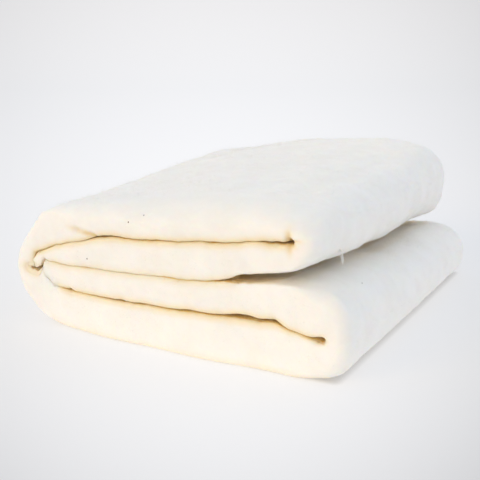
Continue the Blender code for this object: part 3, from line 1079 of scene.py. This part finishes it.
    def cap(self, ring: np.ndarray) -> np.ndarray:
        """Closes one ring with a ladder of quads between its inner and its outer half.

        Args:
            ring: the indices of the ring's points.

        Returns:
            The quads, as rows of four indices.
        """
        around = len(ring)
        middle = self.corner_steps + self.face_steps // 2
        inner = ring[(middle - np.arange(around // 2 + 1)) % around]
        outer = ring[(middle + np.arange(around // 2 + 1)) % around]
        return np.stack([inner[:-1], outer[:-1], outer[1:], inner[1:]], axis=1)

    def build(self, material: bpy.types.Material) -> tuple[bpy.types.Object, Surface]:
        """Args:
            material: the cotton finish.

        Returns:
            The piece, and its surface for what is laid on it.
        """
        grid, closeness, painted_shade = self.grid()
        grid = grid - self.origin
        ribs, around = grid.shape[:2]
        index = np.arange(ribs * around).reshape(ribs, around)
        following = np.roll(index, -1, axis=1)
        quads = np.stack([index[:-1], following[:-1], following[1:], index[1:]], axis=-1).reshape(-1, 4)
        caps = np.concatenate([self.cap(index[0])[:, ::-1], self.cap(index[-1])])
        points = grid.reshape(-1, 3)
        faces = [list(dict.fromkeys(face)) for face in np.concatenate([quads, caps]).tolist()]
        mesh = bpy.data.meshes.new(NODE)
        mesh.from_pydata(points.tolist(), [], [face for face in faces if len(face) > 2])
        mesh.update()
        mesh.shade_smooth()
        mesh.materials.append(material)
        add_painted_shade(mesh, painted_shade)
        piece = bpy.data.objects.new("batting_sheet", mesh)
        bpy.context.scene.collection.objects.link(piece)
        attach(piece, BODY)
        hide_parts(NODE)
        normals = self.normals_of(grid).reshape(-1, 3)
        closed = closeness.reshape(-1)
        regions = self.regions(points, normals, quads, closed[quads].mean(axis=1))
        return piece, Surface(points, normals, quads, closed, painted_shade.reshape(-1), regions)

    def regions(self, points: np.ndarray, normals: np.ndarray, quads: np.ndarray,
                closeness: np.ndarray) -> dict[Region, np.ndarray]:
        """Shares the faces out over the regions by where they are and which way they face.

        Args:
            points: the sheet's points.
            normals: its normals.
            quads: its faces.
            closeness: how closed in each face is.

        Returns:
            A true or false for each face, for each region.
        """
        place = points[quads].mean(axis=1)
        facing = normals[quads].mean(axis=1)
        half = self.depth / 2
        front = (place[:, 1] < -half + self.side_band) & (facing[:, 1] < -self.side_facing)
        back = (place[:, 1] > half - self.side_band) & (facing[:, 1] > self.side_facing)
        rest = ~(front | back) & (place[:, 2] > self.floor_band)
        top = rest & (facing[:, 2] > self.top_facing) & (place[:, 2] > self.top_from)
        noses = rest & ~top & (place[:, 0] > self.noses_from)
        spine = rest & ~top & (place[:, 0] < self.spine_to)
        least, most = self.mouth_closeness
        mouths = (closeness > least) & (closeness < most) & (place[:, 1] < -half + self.side_band)
        return {
            Region.MOUTHS: mouths,
            Region.TOP: top,
            Region.FRONT: front,
            Region.BACK: back,
            Region.NOSES: noses,
            Region.SPINE: spine,
        }


@dataclass
class Nap:
    """The fine loose fibres that stand off one region of the sheet."""

    region: Region
    count: int
    seed: int
    length: float = 0.0018
    length_spread: float = 0.45
    length_limit: float = 0.7
    radius: float = 0.00006
    lift: float = 0.6
    curl: float = 0.30
    sunk: float = 0.0003
    tip_share: float = 0.6
    radius_spread: float = 0.3
    path_points: int = 2

    def paths(self, surface: Surface, draw: np.random.Generator) -> tuple[np.ndarray, np.ndarray]:
        """Lays each fibre's path: it leaves its root at a low slant, and bends on the way to its tip.

        A fibre's rise and its sway are parabolas of the way along it.

        Args:
            surface: what the fibres stand on.
            draw: the source of random numbers.

        Returns:
            The fibres' points, as an array (fibres, points, 3), and the painted shade at each.
        """
        free = 1 - surface.closeness[surface.quads].mean(axis=1)
        root, normal, painted_shade = surface.scatter(surface.region[self.region] * free, self.count, draw)
        heading = draw.normal(size=(self.count, 3))
        heading -= (heading * normal).sum(axis=1, keepdims=True) * normal
        heading /= np.linalg.norm(heading, axis=1, keepdims=True)
        aside = np.cross(normal, heading)
        spread = draw.normal(0, self.length_spread, (self.count, 1))
        length = self.length * np.exp(np.minimum(spread, self.length_limit))
        rise = np.abs(draw.normal(0, self.lift, (self.count, 1)))
        bend = draw.normal(0, self.curl, (self.count, 1))
        steps = np.linspace(0, 1, self.path_points)[None, :, None]
        along = heading[:, None] * (length[:, None] * steps)
        sway = aside[:, None] * (length * bend)[:, None] * steps ** 2
        up = normal[:, None] * (length * rise)[:, None] * (2 * steps - steps ** 2)
        return root[:, None] - normal[:, None] * self.sunk + along + sway + up, painted_shade

    def build(self, surface: Surface, material: bpy.types.Material) -> bpy.types.Object:
        """Builds the region's fibres as one joined mesh.

        Args:
            surface: what the fibres stand on.
            material: the fibres' finish.

        Returns:
            The piece.
        """
        draw = np.random.default_rng(self.seed)
        paths, painted_shade = self.paths(surface, draw)
        taper = np.linspace(1, self.tip_share, self.path_points - 1)[None]
        radii = self.radius * np.exp(draw.normal(0, self.radius_spread, (self.count, 1))) * taper
        points, faces = strand_mesh(paths, radii)
        piece = link_mesh("nap_" + self.region.value, points, faces, material)
        add_painted_shade(piece.data, np.repeat(painted_shade, len(points) // self.count))
        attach(piece, BODY)
        return piece


@dataclass
class LintTuft:
    """A wisp of loose lint that hangs over the lower edge of the upper nose."""

    top: tuple[float, float, float] = (0.2765, 0.0440, 0.0860)
    bottom: tuple[float, float, float] = (0.2800, 0.0435, 0.0765)
    strands: int = 9
    spread: float = 0.0005
    fraying: float = 2.0
    bow: float = 0.0009
    radius: float = 0.00013
    path_points: int = 8
    seed: int = 81

    def build(self, batting: Batting, surface: Surface, material: bpy.types.Material) -> bpy.types.Object:
        """Builds the wisp as one mesh: strands that leave one place, bow out and hang down to about one end.

        Each strand is a straight line, plus half a sine wave outwards and a whole one sideways.

        Args:
            batting: the sheet, for its origin.
            surface: what the wisp hangs on.
            material: the fibres' finish.

        Returns:
            The piece.
        """
        draw = np.random.default_rng(self.seed)
        ends = np.array([self.top, self.bottom]) - batting.origin
        root, normal = surface.nearest(ends[:1])
        steps = np.linspace(0, 1, self.path_points)[None, :, None]
        start = root + draw.normal(0, self.spread, (self.strands, 1, 3))
        end = ends[1] + draw.normal(0, self.fraying * self.spread, (self.strands, 1, 3))
        bow = normal * np.abs(draw.normal(0, self.bow, (self.strands, 1, 1)))
        sway = draw.normal(0, self.spread, (self.strands, 1, 3)) * np.sin(2 * math.pi * steps)
        paths = start + (end - start) * steps + bow * np.sin(math.pi * steps) + sway
        radii = np.full((self.strands, self.path_points - 1), self.radius)
        piece = link_mesh("lint_tuft", *strand_mesh(paths, radii), material)
        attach(piece, BODY)
        return piece


@dataclass
class SeedFlecks:
    """Crumbs of seed husk caught in the cotton: a few seen ones, and a few more at the back edge."""

    seen: tuple[tuple[float, float, float], ...] = (
        (0.1247, 0.0, 0.0963),
        (0.1361, 0.0, 0.1061),
        (0.0850, 0.0, 0.0645),
        (0.2883, 0.060, 0.0582),
    )
    others: int = 9
    size: float = 0.00048
    size_range: tuple[float, float] = (0.55, 1.1)
    shape: tuple[float, float, float] = (1.2, 0.8, 0.35)
    seen_shape: tuple[float, float, float] = (1.2, 0.9, 0.4)
    roughness: float = 0.22
    seed: int = 71
    rings: int = 6
    sides: int = 8

    def build(self, batting: Batting, surface: Surface, material: bpy.types.Material) -> bpy.types.Object:
        """Builds the flecks as one mesh: each is a flattened, lopsided ball that lies on the surface.

        A ball is a sphere worked out from its two angles, with each point then moved in or out at random.

        Args:
            batting: the sheet, for its origin.
            surface: what the flecks lie on.
            material: the husk's finish.

        Returns:
            The piece.
        """
        draw = np.random.default_rng(self.seed)
        place, normal = surface.nearest(np.array(self.seen) - batting.origin)
        weights = surface.region[Region.BACK].astype(float)
        more, more_normal, _ = surface.scatter(weights, self.others, draw)
        place, normal = np.concatenate([place, more]), np.concatenate([normal, more_normal])
        count = len(place)
        first = np.cross(normal, draw.normal(size=(count, 3)))
        first /= np.linalg.norm(first, axis=1, keepdims=True)
        second = np.cross(normal, first)
        sizes = self.size * draw.uniform(*self.size_range, (count, 3)) * np.array(self.shape)
        sizes[: len(self.seen)] = self.size * np.array(self.seen_shape)
        theta = np.linspace(0, math.pi, self.rings + 1)[:, None]
        phi = np.arange(self.sides) * 2 * math.pi / self.sides
        out, up = np.sin(theta), np.cos(theta)
        ball = np.stack([out * np.cos(phi), out * np.sin(phi), up * np.ones_like(phi)], -1)
        ball = np.concatenate([ball[0, :1], ball[1:-1].reshape(-1, 3), ball[-1, :1]])
        rough = 1 + self.roughness * draw.normal(size=(count, len(ball), 1))
        local = ball[None] * rough * sizes[:, None]
        axes = np.stack([first, second, normal], axis=1)
        points = place[:, None] + local @ axes
        offsets = np.arange(count)[:, None, None] * len(ball)
        faces = (self.ball_faces()[None] + offsets).reshape(-1, 3)
        piece = link_mesh("seed_flecks", points.reshape(-1, 3), faces, material)
        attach(piece, BODY)
        return piece

    def ball_faces(self) -> np.ndarray:
        """Joins up a ball that has one point at each pole and rings of points between.

        Returns:
            The ball's triangles, as rows of three indices.
        """
        side = np.arange(self.sides)
        after = (side + 1) % self.sides
        last = 1 + (self.rings - 2) * self.sides
        faces = [np.stack([np.zeros_like(side), 1 + side, 1 + after], axis=1)]
        for ring in range(self.rings - 2):
            a = 1 + ring * self.sides
            faces.append(np.stack([a + side, a + self.sides + side, a + self.sides + after], axis=1))
            faces.append(np.stack([a + side, a + self.sides + after, a + after], axis=1))
        pole = np.full_like(side, last + self.sides)
        faces.append(np.stack([last + side, pole, last + after], axis=1))
        return np.concatenate(faces)


def group_socket(group: bpy.types.NodeTree, name: str, kind: str, into: bool, value: object = None) -> None:
    """Adds a named socket to a node group.

    Args:
        group: the node group.
        name: the socket's name.
        kind: Float, Color or Vector.
        into: True for an input, False for an output.
        value: an input's default value.
    """
    way = "INPUT" if into else "OUTPUT"
    made = group.interface.new_socket(name, in_out=way, socket_type="NodeSocket" + kind)
    if value is not None:
        made.default_value = value


def set_inputs(node: bpy.types.Node, values: dict[str, object]) -> None:
    """Sets a node's own inputs, each by its name."""
    for name, value in values.items():
        node.inputs[name].default_value = value


def place_group(nodes: bpy.types.Nodes, group: bpy.types.NodeTree,
                values: dict[str, object]) -> bpy.types.Node:
    """Places a node group in a material, with its own values.

    Args:
        nodes: the material's nodes.
        group: the node group.
        values: the values of its inputs, by their names.

    Returns:
        The placed group.
    """
    placed = nodes.new("ShaderNodeGroup")
    placed.node_tree = group
    set_inputs(placed, values)
    return placed


def new_material(name: str, values: dict[str, object]) -> tuple[bpy.types.Material, bpy.types.Node]:
    """Makes a material with one Principled shader.

    Args:
        name: the material's name.
        values: the values of the shader's inputs, by their names.

    Returns:
        The material and its shader.
    """
    made = bpy.data.materials.new(name)
    made.use_nodes = True
    shader = made.node_tree.nodes["Principled BSDF"]
    set_inputs(shader, values)
    return made, shader


def cotton_shade_group() -> bpy.types.NodeTree:
    """Builds the cotton's colour: a base, soft drifts of a second colour, and painted shade in closed-in
    folds.

    Returns:
        The node group, which puts out a colour.
    """
    group = bpy.data.node_groups.new("cotton_shade", "ShaderNodeTree")
    group_socket(group, "Base", "Color", True)
    group_socket(group, "Drift", "Color", True)
    group_socket(group, "Fold", "Color", True)
    group_socket(group, "Painted Shade", "Float", True, 0.0)
    group_socket(group, "Drift Scale", "Float", True, 40.0)
    group_socket(group, "Colour", "Color", False)
    nodes, links = group.nodes, group.links
    inside, outside = nodes.new("NodeGroupInput"), nodes.new("NodeGroupOutput")
    place = nodes.new("ShaderNodeTexCoord")
    noise = nodes.new("ShaderNodeTexNoise")
    set_inputs(noise, {"Detail": 6.0, "Roughness": 0.65})
    spread = nodes.new("ShaderNodeMapRange")
    set_inputs(spread, {"From Min": 0.35, "From Max": 0.68})
    drifted, folded = nodes.new("ShaderNodeMix"), nodes.new("ShaderNodeMix")
    drifted.data_type = folded.data_type = "RGBA"
    links.new(place.outputs["Object"], noise.inputs["Vector"])
    links.new(inside.outputs["Drift Scale"], noise.inputs["Scale"])
    links.new(noise.outputs["Fac"], spread.inputs["Value"])
    links.new(spread.outputs["Result"], drifted.inputs["Factor"])
    links.new(inside.outputs["Base"], drifted.inputs[COLOUR_A])
    links.new(inside.outputs["Drift"], drifted.inputs[COLOUR_B])
    # Painted shade: the colour mixes towards the fold colour as far as the painted shade attribute says.
    links.new(inside.outputs["Painted Shade"], folded.inputs["Factor"])
    links.new(drifted.outputs[COLOUR_MIXED], folded.inputs[COLOUR_A])
    links.new(inside.outputs["Fold"], folded.inputs[COLOUR_B])
    links.new(folded.outputs[COLOUR_MIXED], outside.inputs["Colour"])
    return group


def fibre_height_group() -> bpy.types.NodeTree:
    """Builds the fibre mat's height: thin strands in three directions, over soft tufts.

    Returns:
        The node group, which puts out a height from 0 to 1.
    """
    group = bpy.data.node_groups.new("fibre_height", "ShaderNodeTree")
    group_socket(group, "Strand Scale", "Float", True, 900.0)
    group_socket(group, "Tuft Scale", "Float", True, 160.0)
    group_socket(group, "Tuft Share", "Float", True, 0.5)
    group_socket(group, "Height", "Float", False)
    nodes, links = group.nodes, group.links
    inside, outside = nodes.new("NodeGroupInput"), nodes.new("NodeGroupOutput")
    place = nodes.new("ShaderNodeTexCoord")
    stretches = ((1.0, 0.12, 0.5), (0.14, 1.0, 0.6), (0.5, 0.4, 0.12))
    turns = ((0.3, 0.2, 0.5), (0.1, 0.4, -0.6), (0.5, -0.3, 0.9))
    strands = None
    for stretch, turn in zip(stretches, turns):
        mapping = nodes.new("ShaderNodeMapping")
        set_inputs(mapping, {"Rotation": turn, "Scale": stretch})
        noise = nodes.new("ShaderNodeTexNoise")
        set_inputs(noise, {"Detail": 2.0, "Distortion": 0.6})
        links.new(place.outputs["Object"], mapping.inputs["Vector"])
        links.new(mapping.outputs["Vector"], noise.inputs["Vector"])
        links.new(inside.outputs["Strand Scale"], noise.inputs["Scale"])
        if strands is None:
            strands = noise.outputs["Fac"]
            continue
        highest = nodes.new("ShaderNodeMath")
        highest.operation = "MAXIMUM"
        links.new(strands, highest.inputs[0])
        links.new(noise.outputs["Fac"], highest.inputs[1])
        strands = highest.outputs["Value"]
    tufts = nodes.new("ShaderNodeTexNoise")
    set_inputs(tufts, {"Detail": 4.0, "Roughness": 0.6})
    links.new(place.outputs["Object"], tufts.inputs["Vector"])
    links.new(inside.outputs["Tuft Scale"], tufts.inputs["Scale"])
    blend = nodes.new("ShaderNodeMix")
    links.new(inside.outputs["Tuft Share"], blend.inputs["Factor"])
    links.new(strands, blend.inputs[VALUE_A])
    links.new(tufts.outputs["Fac"], blend.inputs[VALUE_B])
    links.new(blend.outputs[VALUE_MIXED], outside.inputs["Height"])
    return group


@dataclass(frozen=True)
class CottonFinish:
    """Unbleached cotton: matt, cream, a little darker in drifts; painted orange-brown shade deep in the
    folds.
    """

    name: str
    shade: bpy.types.NodeTree
    height: bpy.types.NodeTree
    base: tuple[float, float, float] = (0.900, 0.870, 0.790)
    drift: tuple[float, float, float] = (0.865, 0.830, 0.745)
    # The colour of the painted warm shade and glow deep in the folds and at the slits' lips.
    fold: tuple[float, float, float] = (0.830, 0.590, 0.160)
    drift_scale: float = 45.0
    strand_scale: float = 900.0
    tuft_scale: float = 170.0
    tuft_share: float = 0.55
    bump_strength: float = 0.18
    bump_distance: float = 0.0005
    roughness: float = 0.95
    sheen: float = 0.25
    sheen_roughness: float = 0.6
    specular: float = 0.15
    subsurface: float = 0.5
    subsurface_radius: tuple[float, float, float] = (1.0, 0.65, 0.35)
    subsurface_scale: float = 0.005

    def material(self) -> bpy.types.Material:
        """Builds the material: the cotton shade as its colour, and the fibre mat's height as a fine bump.

        Returns:
            The finished material.
        """
        made, shader = new_material(self.name, {
            "Roughness": self.roughness,
            "Sheen Weight": self.sheen,
            "Sheen Roughness": self.sheen_roughness,
            "Specular IOR Level": self.specular,
            "Subsurface Weight": self.subsurface,
            "Subsurface Radius": self.subsurface_radius,
            "Subsurface Scale": self.subsurface_scale,
        })
        nodes, links = made.node_tree.nodes, made.node_tree.links
        shade = place_group(nodes, self.shade, {
            "Base": (*self.base, 1.0),
            "Drift": (*self.drift, 1.0),
            "Fold": (*self.fold, 1.0),
            "Drift Scale": self.drift_scale,
        })
        # Reads the painted shade: warm shade and glow in the folds, at the lips and along the floor edge.
        painted_shade = nodes.new("ShaderNodeAttribute")
        painted_shade.attribute_name = "painted_shade"
        links.new(painted_shade.outputs["Fac"], shade.inputs["Painted Shade"])
        links.new(shade.outputs["Colour"], shader.inputs["Base Color"])
        height = place_group(nodes, self.height, {
            "Strand Scale": self.strand_scale,
            "Tuft Scale": self.tuft_scale,
            "Tuft Share": self.tuft_share,
        })
        bump = nodes.new("ShaderNodeBump")
        set_inputs(bump, {"Strength": self.bump_strength, "Distance": self.bump_distance})
        links.new(height.outputs["Height"], bump.inputs["Height"])
        links.new(bump.outputs["Normal"], shader.inputs["Normal"])
        return made


@dataclass(frozen=True)
class PlainFinish:
    """A plain matt finish of one colour with a little drift, for husk crumbs."""

    name: str
    shade: bpy.types.NodeTree
    base: tuple[float, float, float]
    drift: tuple[float, float, float]
    drift_scale: float
    roughness: float = 0.8
    specular: float = 0.2

    def material(self) -> bpy.types.Material:
        """Builds the material, with the cotton shade's drift between its two colours.

        Returns:
            The finished material.
        """
        made, shader = new_material(self.name, {
            "Roughness": self.roughness,
            "Specular IOR Level": self.specular,
        })
        shade = place_group(made.node_tree.nodes, self.shade, {
            "Base": (*self.base, 1.0),
            "Drift": (*self.drift, 1.0),
            "Fold": (*self.base, 1.0),
            "Drift Scale": self.drift_scale,
        })
        made.node_tree.links.new(shade.outputs["Colour"], shader.inputs["Base Color"])
        return made


def painted_backdrop_shade_group() -> bpy.types.NodeTree:
    """Builds the backdrop's painted shade: a factor that grows with the squared distance from a line of
    sight.

    Returns:
        The node group, which puts out a factor from 0 to 1.
    """
    group = bpy.data.node_groups.new("painted_backdrop_shade", "ShaderNodeTree")
    group_socket(group, "Place", "Vector", True)
    group_socket(group, "Turn", "Vector", True)
    group_socket(group, "Height", "Float", True, 0.25)
    group_socket(group, "Slope", "Float", True, 0.25)
    group_socket(group, "Amount", "Float", True, 1.4)
    group_socket(group, "Limit", "Float", True, 0.3)
    group_socket(group, "Fade", "Float", False)
    nodes, links = group.nodes, group.links
    inside, outside = nodes.new("NodeGroupInput"), nodes.new("NodeGroupOutput")
    place = nodes.new("ShaderNodeTexCoord")
    mapping = nodes.new("ShaderNodeMapping")
    mapping.vector_type = "TEXTURE"
    split, joined = nodes.new("ShaderNodeSeparateXYZ"), nodes.new("ShaderNodeCombineXYZ")
    operations = ("DIVIDE", "SUBTRACT", "DIVIDE", "SUBTRACT", "MULTIPLY", "MINIMUM")
    across, below, down, off, amount, least = (nodes.new("ShaderNodeMath") for _ in operations)
    for node, operation in zip((across, below, down, off, amount, least), operations):
        node.operation = operation
    square = nodes.new("ShaderNodeVectorMath")
    square.operation = "DOT_PRODUCT"
    links.new(place.outputs["Object"], mapping.inputs["Vector"])
    links.new(inside.outputs["Place"], mapping.inputs["Location"])
    links.new(inside.outputs["Turn"], mapping.inputs["Rotation"])
    links.new(mapping.outputs["Vector"], split.inputs["Vector"])
    links.new(split.outputs["X"], across.inputs[0])
    links.new(split.outputs["Y"], across.inputs[1])
    links.new(inside.outputs["Height"], below.inputs[0])
    links.new(split.outputs["Z"], below.inputs[1])
    links.new(below.outputs["Value"], down.inputs[0])
    links.new(split.outputs["Y"], down.inputs[1])
    links.new(down.outputs["Value"], off.inputs[0])
    links.new(inside.outputs["Slope"], off.inputs[1])
    links.new(across.outputs["Value"], joined.inputs["X"])
    links.new(off.outputs["Value"], joined.inputs["Y"])
    links.new(joined.outputs["Vector"], square.inputs[0])
    links.new(joined.outputs["Vector"], square.inputs[1])
    links.new(square.outputs["Value"], amount.inputs[0])
    links.new(inside.outputs["Amount"], amount.inputs[1])
    links.new(amount.outputs["Value"], least.inputs[0])
    links.new(inside.outputs["Limit"], least.inputs[1])
    links.new(least.outputs["Value"], outside.inputs["Fade"])
    return group


def contact_group() -> bpy.types.NodeTree:
    """Builds the contact shade: full where the object lies on the floor, fading to 0 a little way outside.

    Returns:
        The node group, which puts out a factor from 0 to 1.
    """
    group = bpy.data.node_groups.new("contact_shade", "ShaderNodeTree")
    group_socket(group, "Middle", "Vector", True)
    group_socket(group, "Half", "Vector", True)
    group_socket(group, "Blur", "Float", True, 0.02)
    group_socket(group, "Depth", "Float", True, 0.6)
    group_socket(group, "Contact", "Float", False)
    nodes, links = group.nodes, group.links
    inside, outside = nodes.new("NodeGroupInput"), nodes.new("NodeGroupOutput")
    place = nodes.new("ShaderNodeTexCoord")
    operations = ("SUBTRACT", "ABSOLUTE", "SUBTRACT", "MAXIMUM", "LENGTH")
    away, aside, beyond, only, length = (nodes.new("ShaderNodeVectorMath") for _ in operations)
    for node, operation in zip((away, aside, beyond, only, length), operations):
        node.operation = operation
    fall = nodes.new("ShaderNodeMapRange")
    fall.interpolation_type = "SMOOTHSTEP"
    set_inputs(fall, {"To Max": 0.0})
    links.new(place.outputs["Object"], away.inputs[0])
    links.new(inside.outputs["Middle"], away.inputs[1])
    links.new(away.outputs["Vector"], aside.inputs[0])
    links.new(aside.outputs["Vector"], beyond.inputs[0])
    links.new(inside.outputs["Half"], beyond.inputs[1])
    links.new(beyond.outputs["Vector"], only.inputs[0])
    links.new(only.outputs["Vector"], length.inputs[0])
    links.new(length.outputs["Value"], fall.inputs["Value"])
    links.new(inside.outputs["Blur"], fall.inputs["From Max"])
    links.new(inside.outputs["Depth"], fall.inputs["To Min"])
    links.new(fall.outputs["Result"], outside.inputs["Contact"])
    return group


@dataclass
class Studio:
    """A plain pale floor that rises far behind, high-key soft light and the photograph's viewing angle."""

    eye: tuple[float, float, float] = (0.34945, -0.6556, 0.2450)
    tilt: float = 75.2825
    heading: float = 29.375
    lens: float = 62.816
    sensor: float = 36.0
    floor_back: float = -6.0
    floor_front: float = 2.5
    floor_half: float = 8.0
    rise_radius: float = 3.0
    rise_steps: int = 48
    rise_turn: float = 0.9
    floor_drop: float = 0.0002
    floor_roughness: float = 0.9
    floor_colour: tuple[float, float, float] = (0.50, 0.50, 0.50)
    floor_glow: tuple[float, float, float] = (0.516, 0.505, 0.497)
    fade_tilt: float = 73.6
    fade_heading: float = 30.5
    fade_amount: float = 1.42
    fade_limit: float = 0.30
    contact_middle: tuple[float, float, float] = (0.0275, 0.0, 0.0)
    contact_half: tuple[float, float, float] = (0.113, 0.150, 1.0)
    contact_blur: float = 0.010
    contact_depth: float = 0.45
    sky_low: tuple[float, float, float] = (1.30, 1.30, 1.48)
    sky_high: tuple[float, float, float] = (0.52, 0.62, 0.70)
    key_colour: tuple[float, float, float] = (1.0, 0.68, 0.26)
    key_strength: float = 0.868
    key_from: tuple[float, float, float] = (-0.40, -0.85, 0.38)
    key_spread: float = 30.0

    def floor_grid(self) -> tuple[np.ndarray, np.ndarray]:
        """Draws the floor's profile, flat and then rising in a wide round, and carries it across the view.

        Returns:
            The points and the faces.
        """
        turn = np.linspace(0, self.rise_turn, self.rise_steps + 1)
        along = np.concatenate([[self.floor_back], self.floor_front + self.rise_radius * np.sin(turn)])
        up = np.concatenate([[0.0], self.rise_radius * (1 - np.cos(turn))]) - self.floor_drop
        heading = math.radians(self.heading)
        ahead = np.array([-math.sin(heading), math.cos(heading), 0.0])
        aside = np.array([math.cos(heading), math.sin(heading), 0.0])
        line = along[:, None] * ahead + up[:, None] * np.array([0.0, 0.0, 1.0])
        points = np.concatenate([line - self.floor_half * aside, line + self.floor_half * aside])
        k = np.arange(len(line) - 1)
        return points, np.stack([k, k + len(line), k + len(line) + 1, k + 1], axis=1)

    def floor_material(self) -> bpy.types.Material:
        """Builds the floor's finish: matt and pale, with a glow that keeps its shadow light.

        The backdrop's painted shade, a fade, darkens its colour, and that fade or the painted contact shadow
        darkens its glow.

        Returns:
            The finished material.
        """
        made, shader = new_material("pale_floor", {
            "Roughness": self.floor_roughness,
            "Specular IOR Level": 0.0,
            "Emission Strength": 1.0,
        })
        nodes, links = made.node_tree.nodes, made.node_tree.links
        # Painted shade: the floor darkens away from the middle of the view.
        fade = place_group(nodes, painted_backdrop_shade_group(), {
            "Place": (self.eye[0], self.eye[1], 0.0),
            "Turn": (0.0, 0.0, math.radians(self.fade_heading)),
            "Height": self.eye[2],
            "Slope": 1 / math.tan(math.radians(self.fade_tilt)),
            "Amount": self.fade_amount,
            "Limit": self.fade_limit,
        })
        contact = place_group(nodes, contact_group(), {
            "Middle": self.contact_middle,
            "Half": self.contact_half,
            "Blur": self.contact_blur,
            "Depth": self.contact_depth,
        })
        either = nodes.new("ShaderNodeMath")
        either.operation = "MAXIMUM"
        links.new(fade.outputs["Fade"], either.inputs[0])
        links.new(contact.outputs["Contact"], either.inputs[1])
        finish = (
            (self.floor_colour, fade.outputs["Fade"], "Base Color"),
            (self.floor_glow, either.outputs["Value"], "Emission Color"),
        )
        for colour, factor, socket in finish:
            mix = nodes.new("ShaderNodeMix")
            mix.data_type = "RGBA"
            mix.inputs[COLOUR_A].default_value = (*colour, 1.0)
            mix.inputs[COLOUR_B].default_value = (0.0, 0.0, 0.0, 1.0)
            links.new(factor, mix.inputs["Factor"])
            links.new(mix.outputs[COLOUR_MIXED], shader.inputs[socket])
        return made

    def sky(self) -> bpy.types.World:
        """Builds the soft sky: brightest near the horizon, as in a ring of large diffusers.

        Returns:
            The world.
        """
        world = bpy.data.worlds.new("studio")
        world.use_nodes = True
        nodes, links = world.node_tree.nodes, world.node_tree.links
        way, split, mix = (nodes.new("ShaderNode" + kind) for kind in ("TexCoord", "SeparateXYZ", "Mix"))
        mix.data_type = "RGBA"
        mix.inputs[COLOUR_A].default_value = (*self.sky_low, 1.0)
        mix.inputs[COLOUR_B].default_value = (*self.sky_high, 1.0)
        links.new(way.outputs["Generated"], split.inputs["Vector"])
        links.new(split.outputs["Z"], mix.inputs["Factor"])
        links.new(mix.outputs[COLOUR_MIXED], nodes["Background"].inputs["Color"])
        return world

    def build(self) -> None:
        """Sets up the camera, the floor and the lights."""
        scene = bpy.context.scene
        camera = bpy.data.cameras.new("camera")
        camera.lens, camera.sensor_width = self.lens, self.sensor
        eye = bpy.data.objects.new("camera", camera)
        eye.location = self.eye
        eye.rotation_euler = (math.radians(self.tilt), 0.0, math.radians(self.heading))
        scene.collection.objects.link(eye)
        scene.camera = eye
        floor = link_mesh("floor", *self.floor_grid(), self.floor_material())
        scene.world = self.sky()
        lamp = bpy.data.lights.new("key", "SUN")
        lamp.color, lamp.energy = self.key_colour, self.key_strength
        lamp.angle = math.radians(self.key_spread)
        key = bpy.data.objects.new("key", lamp)
        key.location = self.key_from
        key.rotation_euler = Vector(self.key_from).to_track_quat("Z", "Y").to_euler()
        scene.collection.objects.link(key)
        scene.view_settings.view_transform = "Standard"


def report(piece: bpy.types.Object) -> None:
    """Reports a finished piece: its name and how many faces it has."""
    LOG.info("%s: %d faces", piece.name, len(piece.data.polygons))


def main() -> None:
    """Builds the batting, what lies on it and the studio, and reports each piece."""
    logging.basicConfig(level=logging.INFO, format="%(name)s: %(message)s")
    shade, height = cotton_shade_group(), fibre_height_group()
    cotton = CottonFinish("natural_cotton", shade, height).material()
    # Painted light: a paler copy of the cotton, so that the fibres, without subsurface scattering, are not
    # darker than the sheet.
    loose = CottonFinish(
        "loose_fibre", shade, height, base=(0.97, 0.95, 0.88), drift=(0.95, 0.92, 0.84),
        sheen=0.0, bump_strength=0.0, subsurface=0.0,
    )
    fibre = loose.material()
    brown = PlainFinish(
        "seed_husk", shade, base=(0.10, 0.07, 0.045), drift=(0.20, 0.14, 0.09), drift_scale=900.0,
    )
    husk = brown.material()
    Studio().build()
    batting = Batting()
    sheet, surface = batting.build(cotton)
    report(sheet)
    naps = (
        Nap(Region.TOP, count=40000, seed=51, radius=0.00005, lift=0.7),
        Nap(Region.FRONT, count=24000, seed=52, length=0.0014, lift=0.4),
        Nap(Region.NOSES, count=30000, seed=53, length=0.0016, radius=0.00005, lift=0.7),
        Nap(Region.MOUTHS, count=1600, seed=56, length=0.0028, path_points=3),
        Nap(Region.BACK, count=12000, seed=54),
        Nap(Region.SPINE, count=14000, seed=55, radius=0.00005, lift=0.7),
    )
    for nap in naps:
        report(nap.build(surface, fibre))
    report(LintTuft().build(batting, surface, fibre))
    report(SeedFlecks().build(batting, surface, husk))


if __name__ == "__main__":
    main()
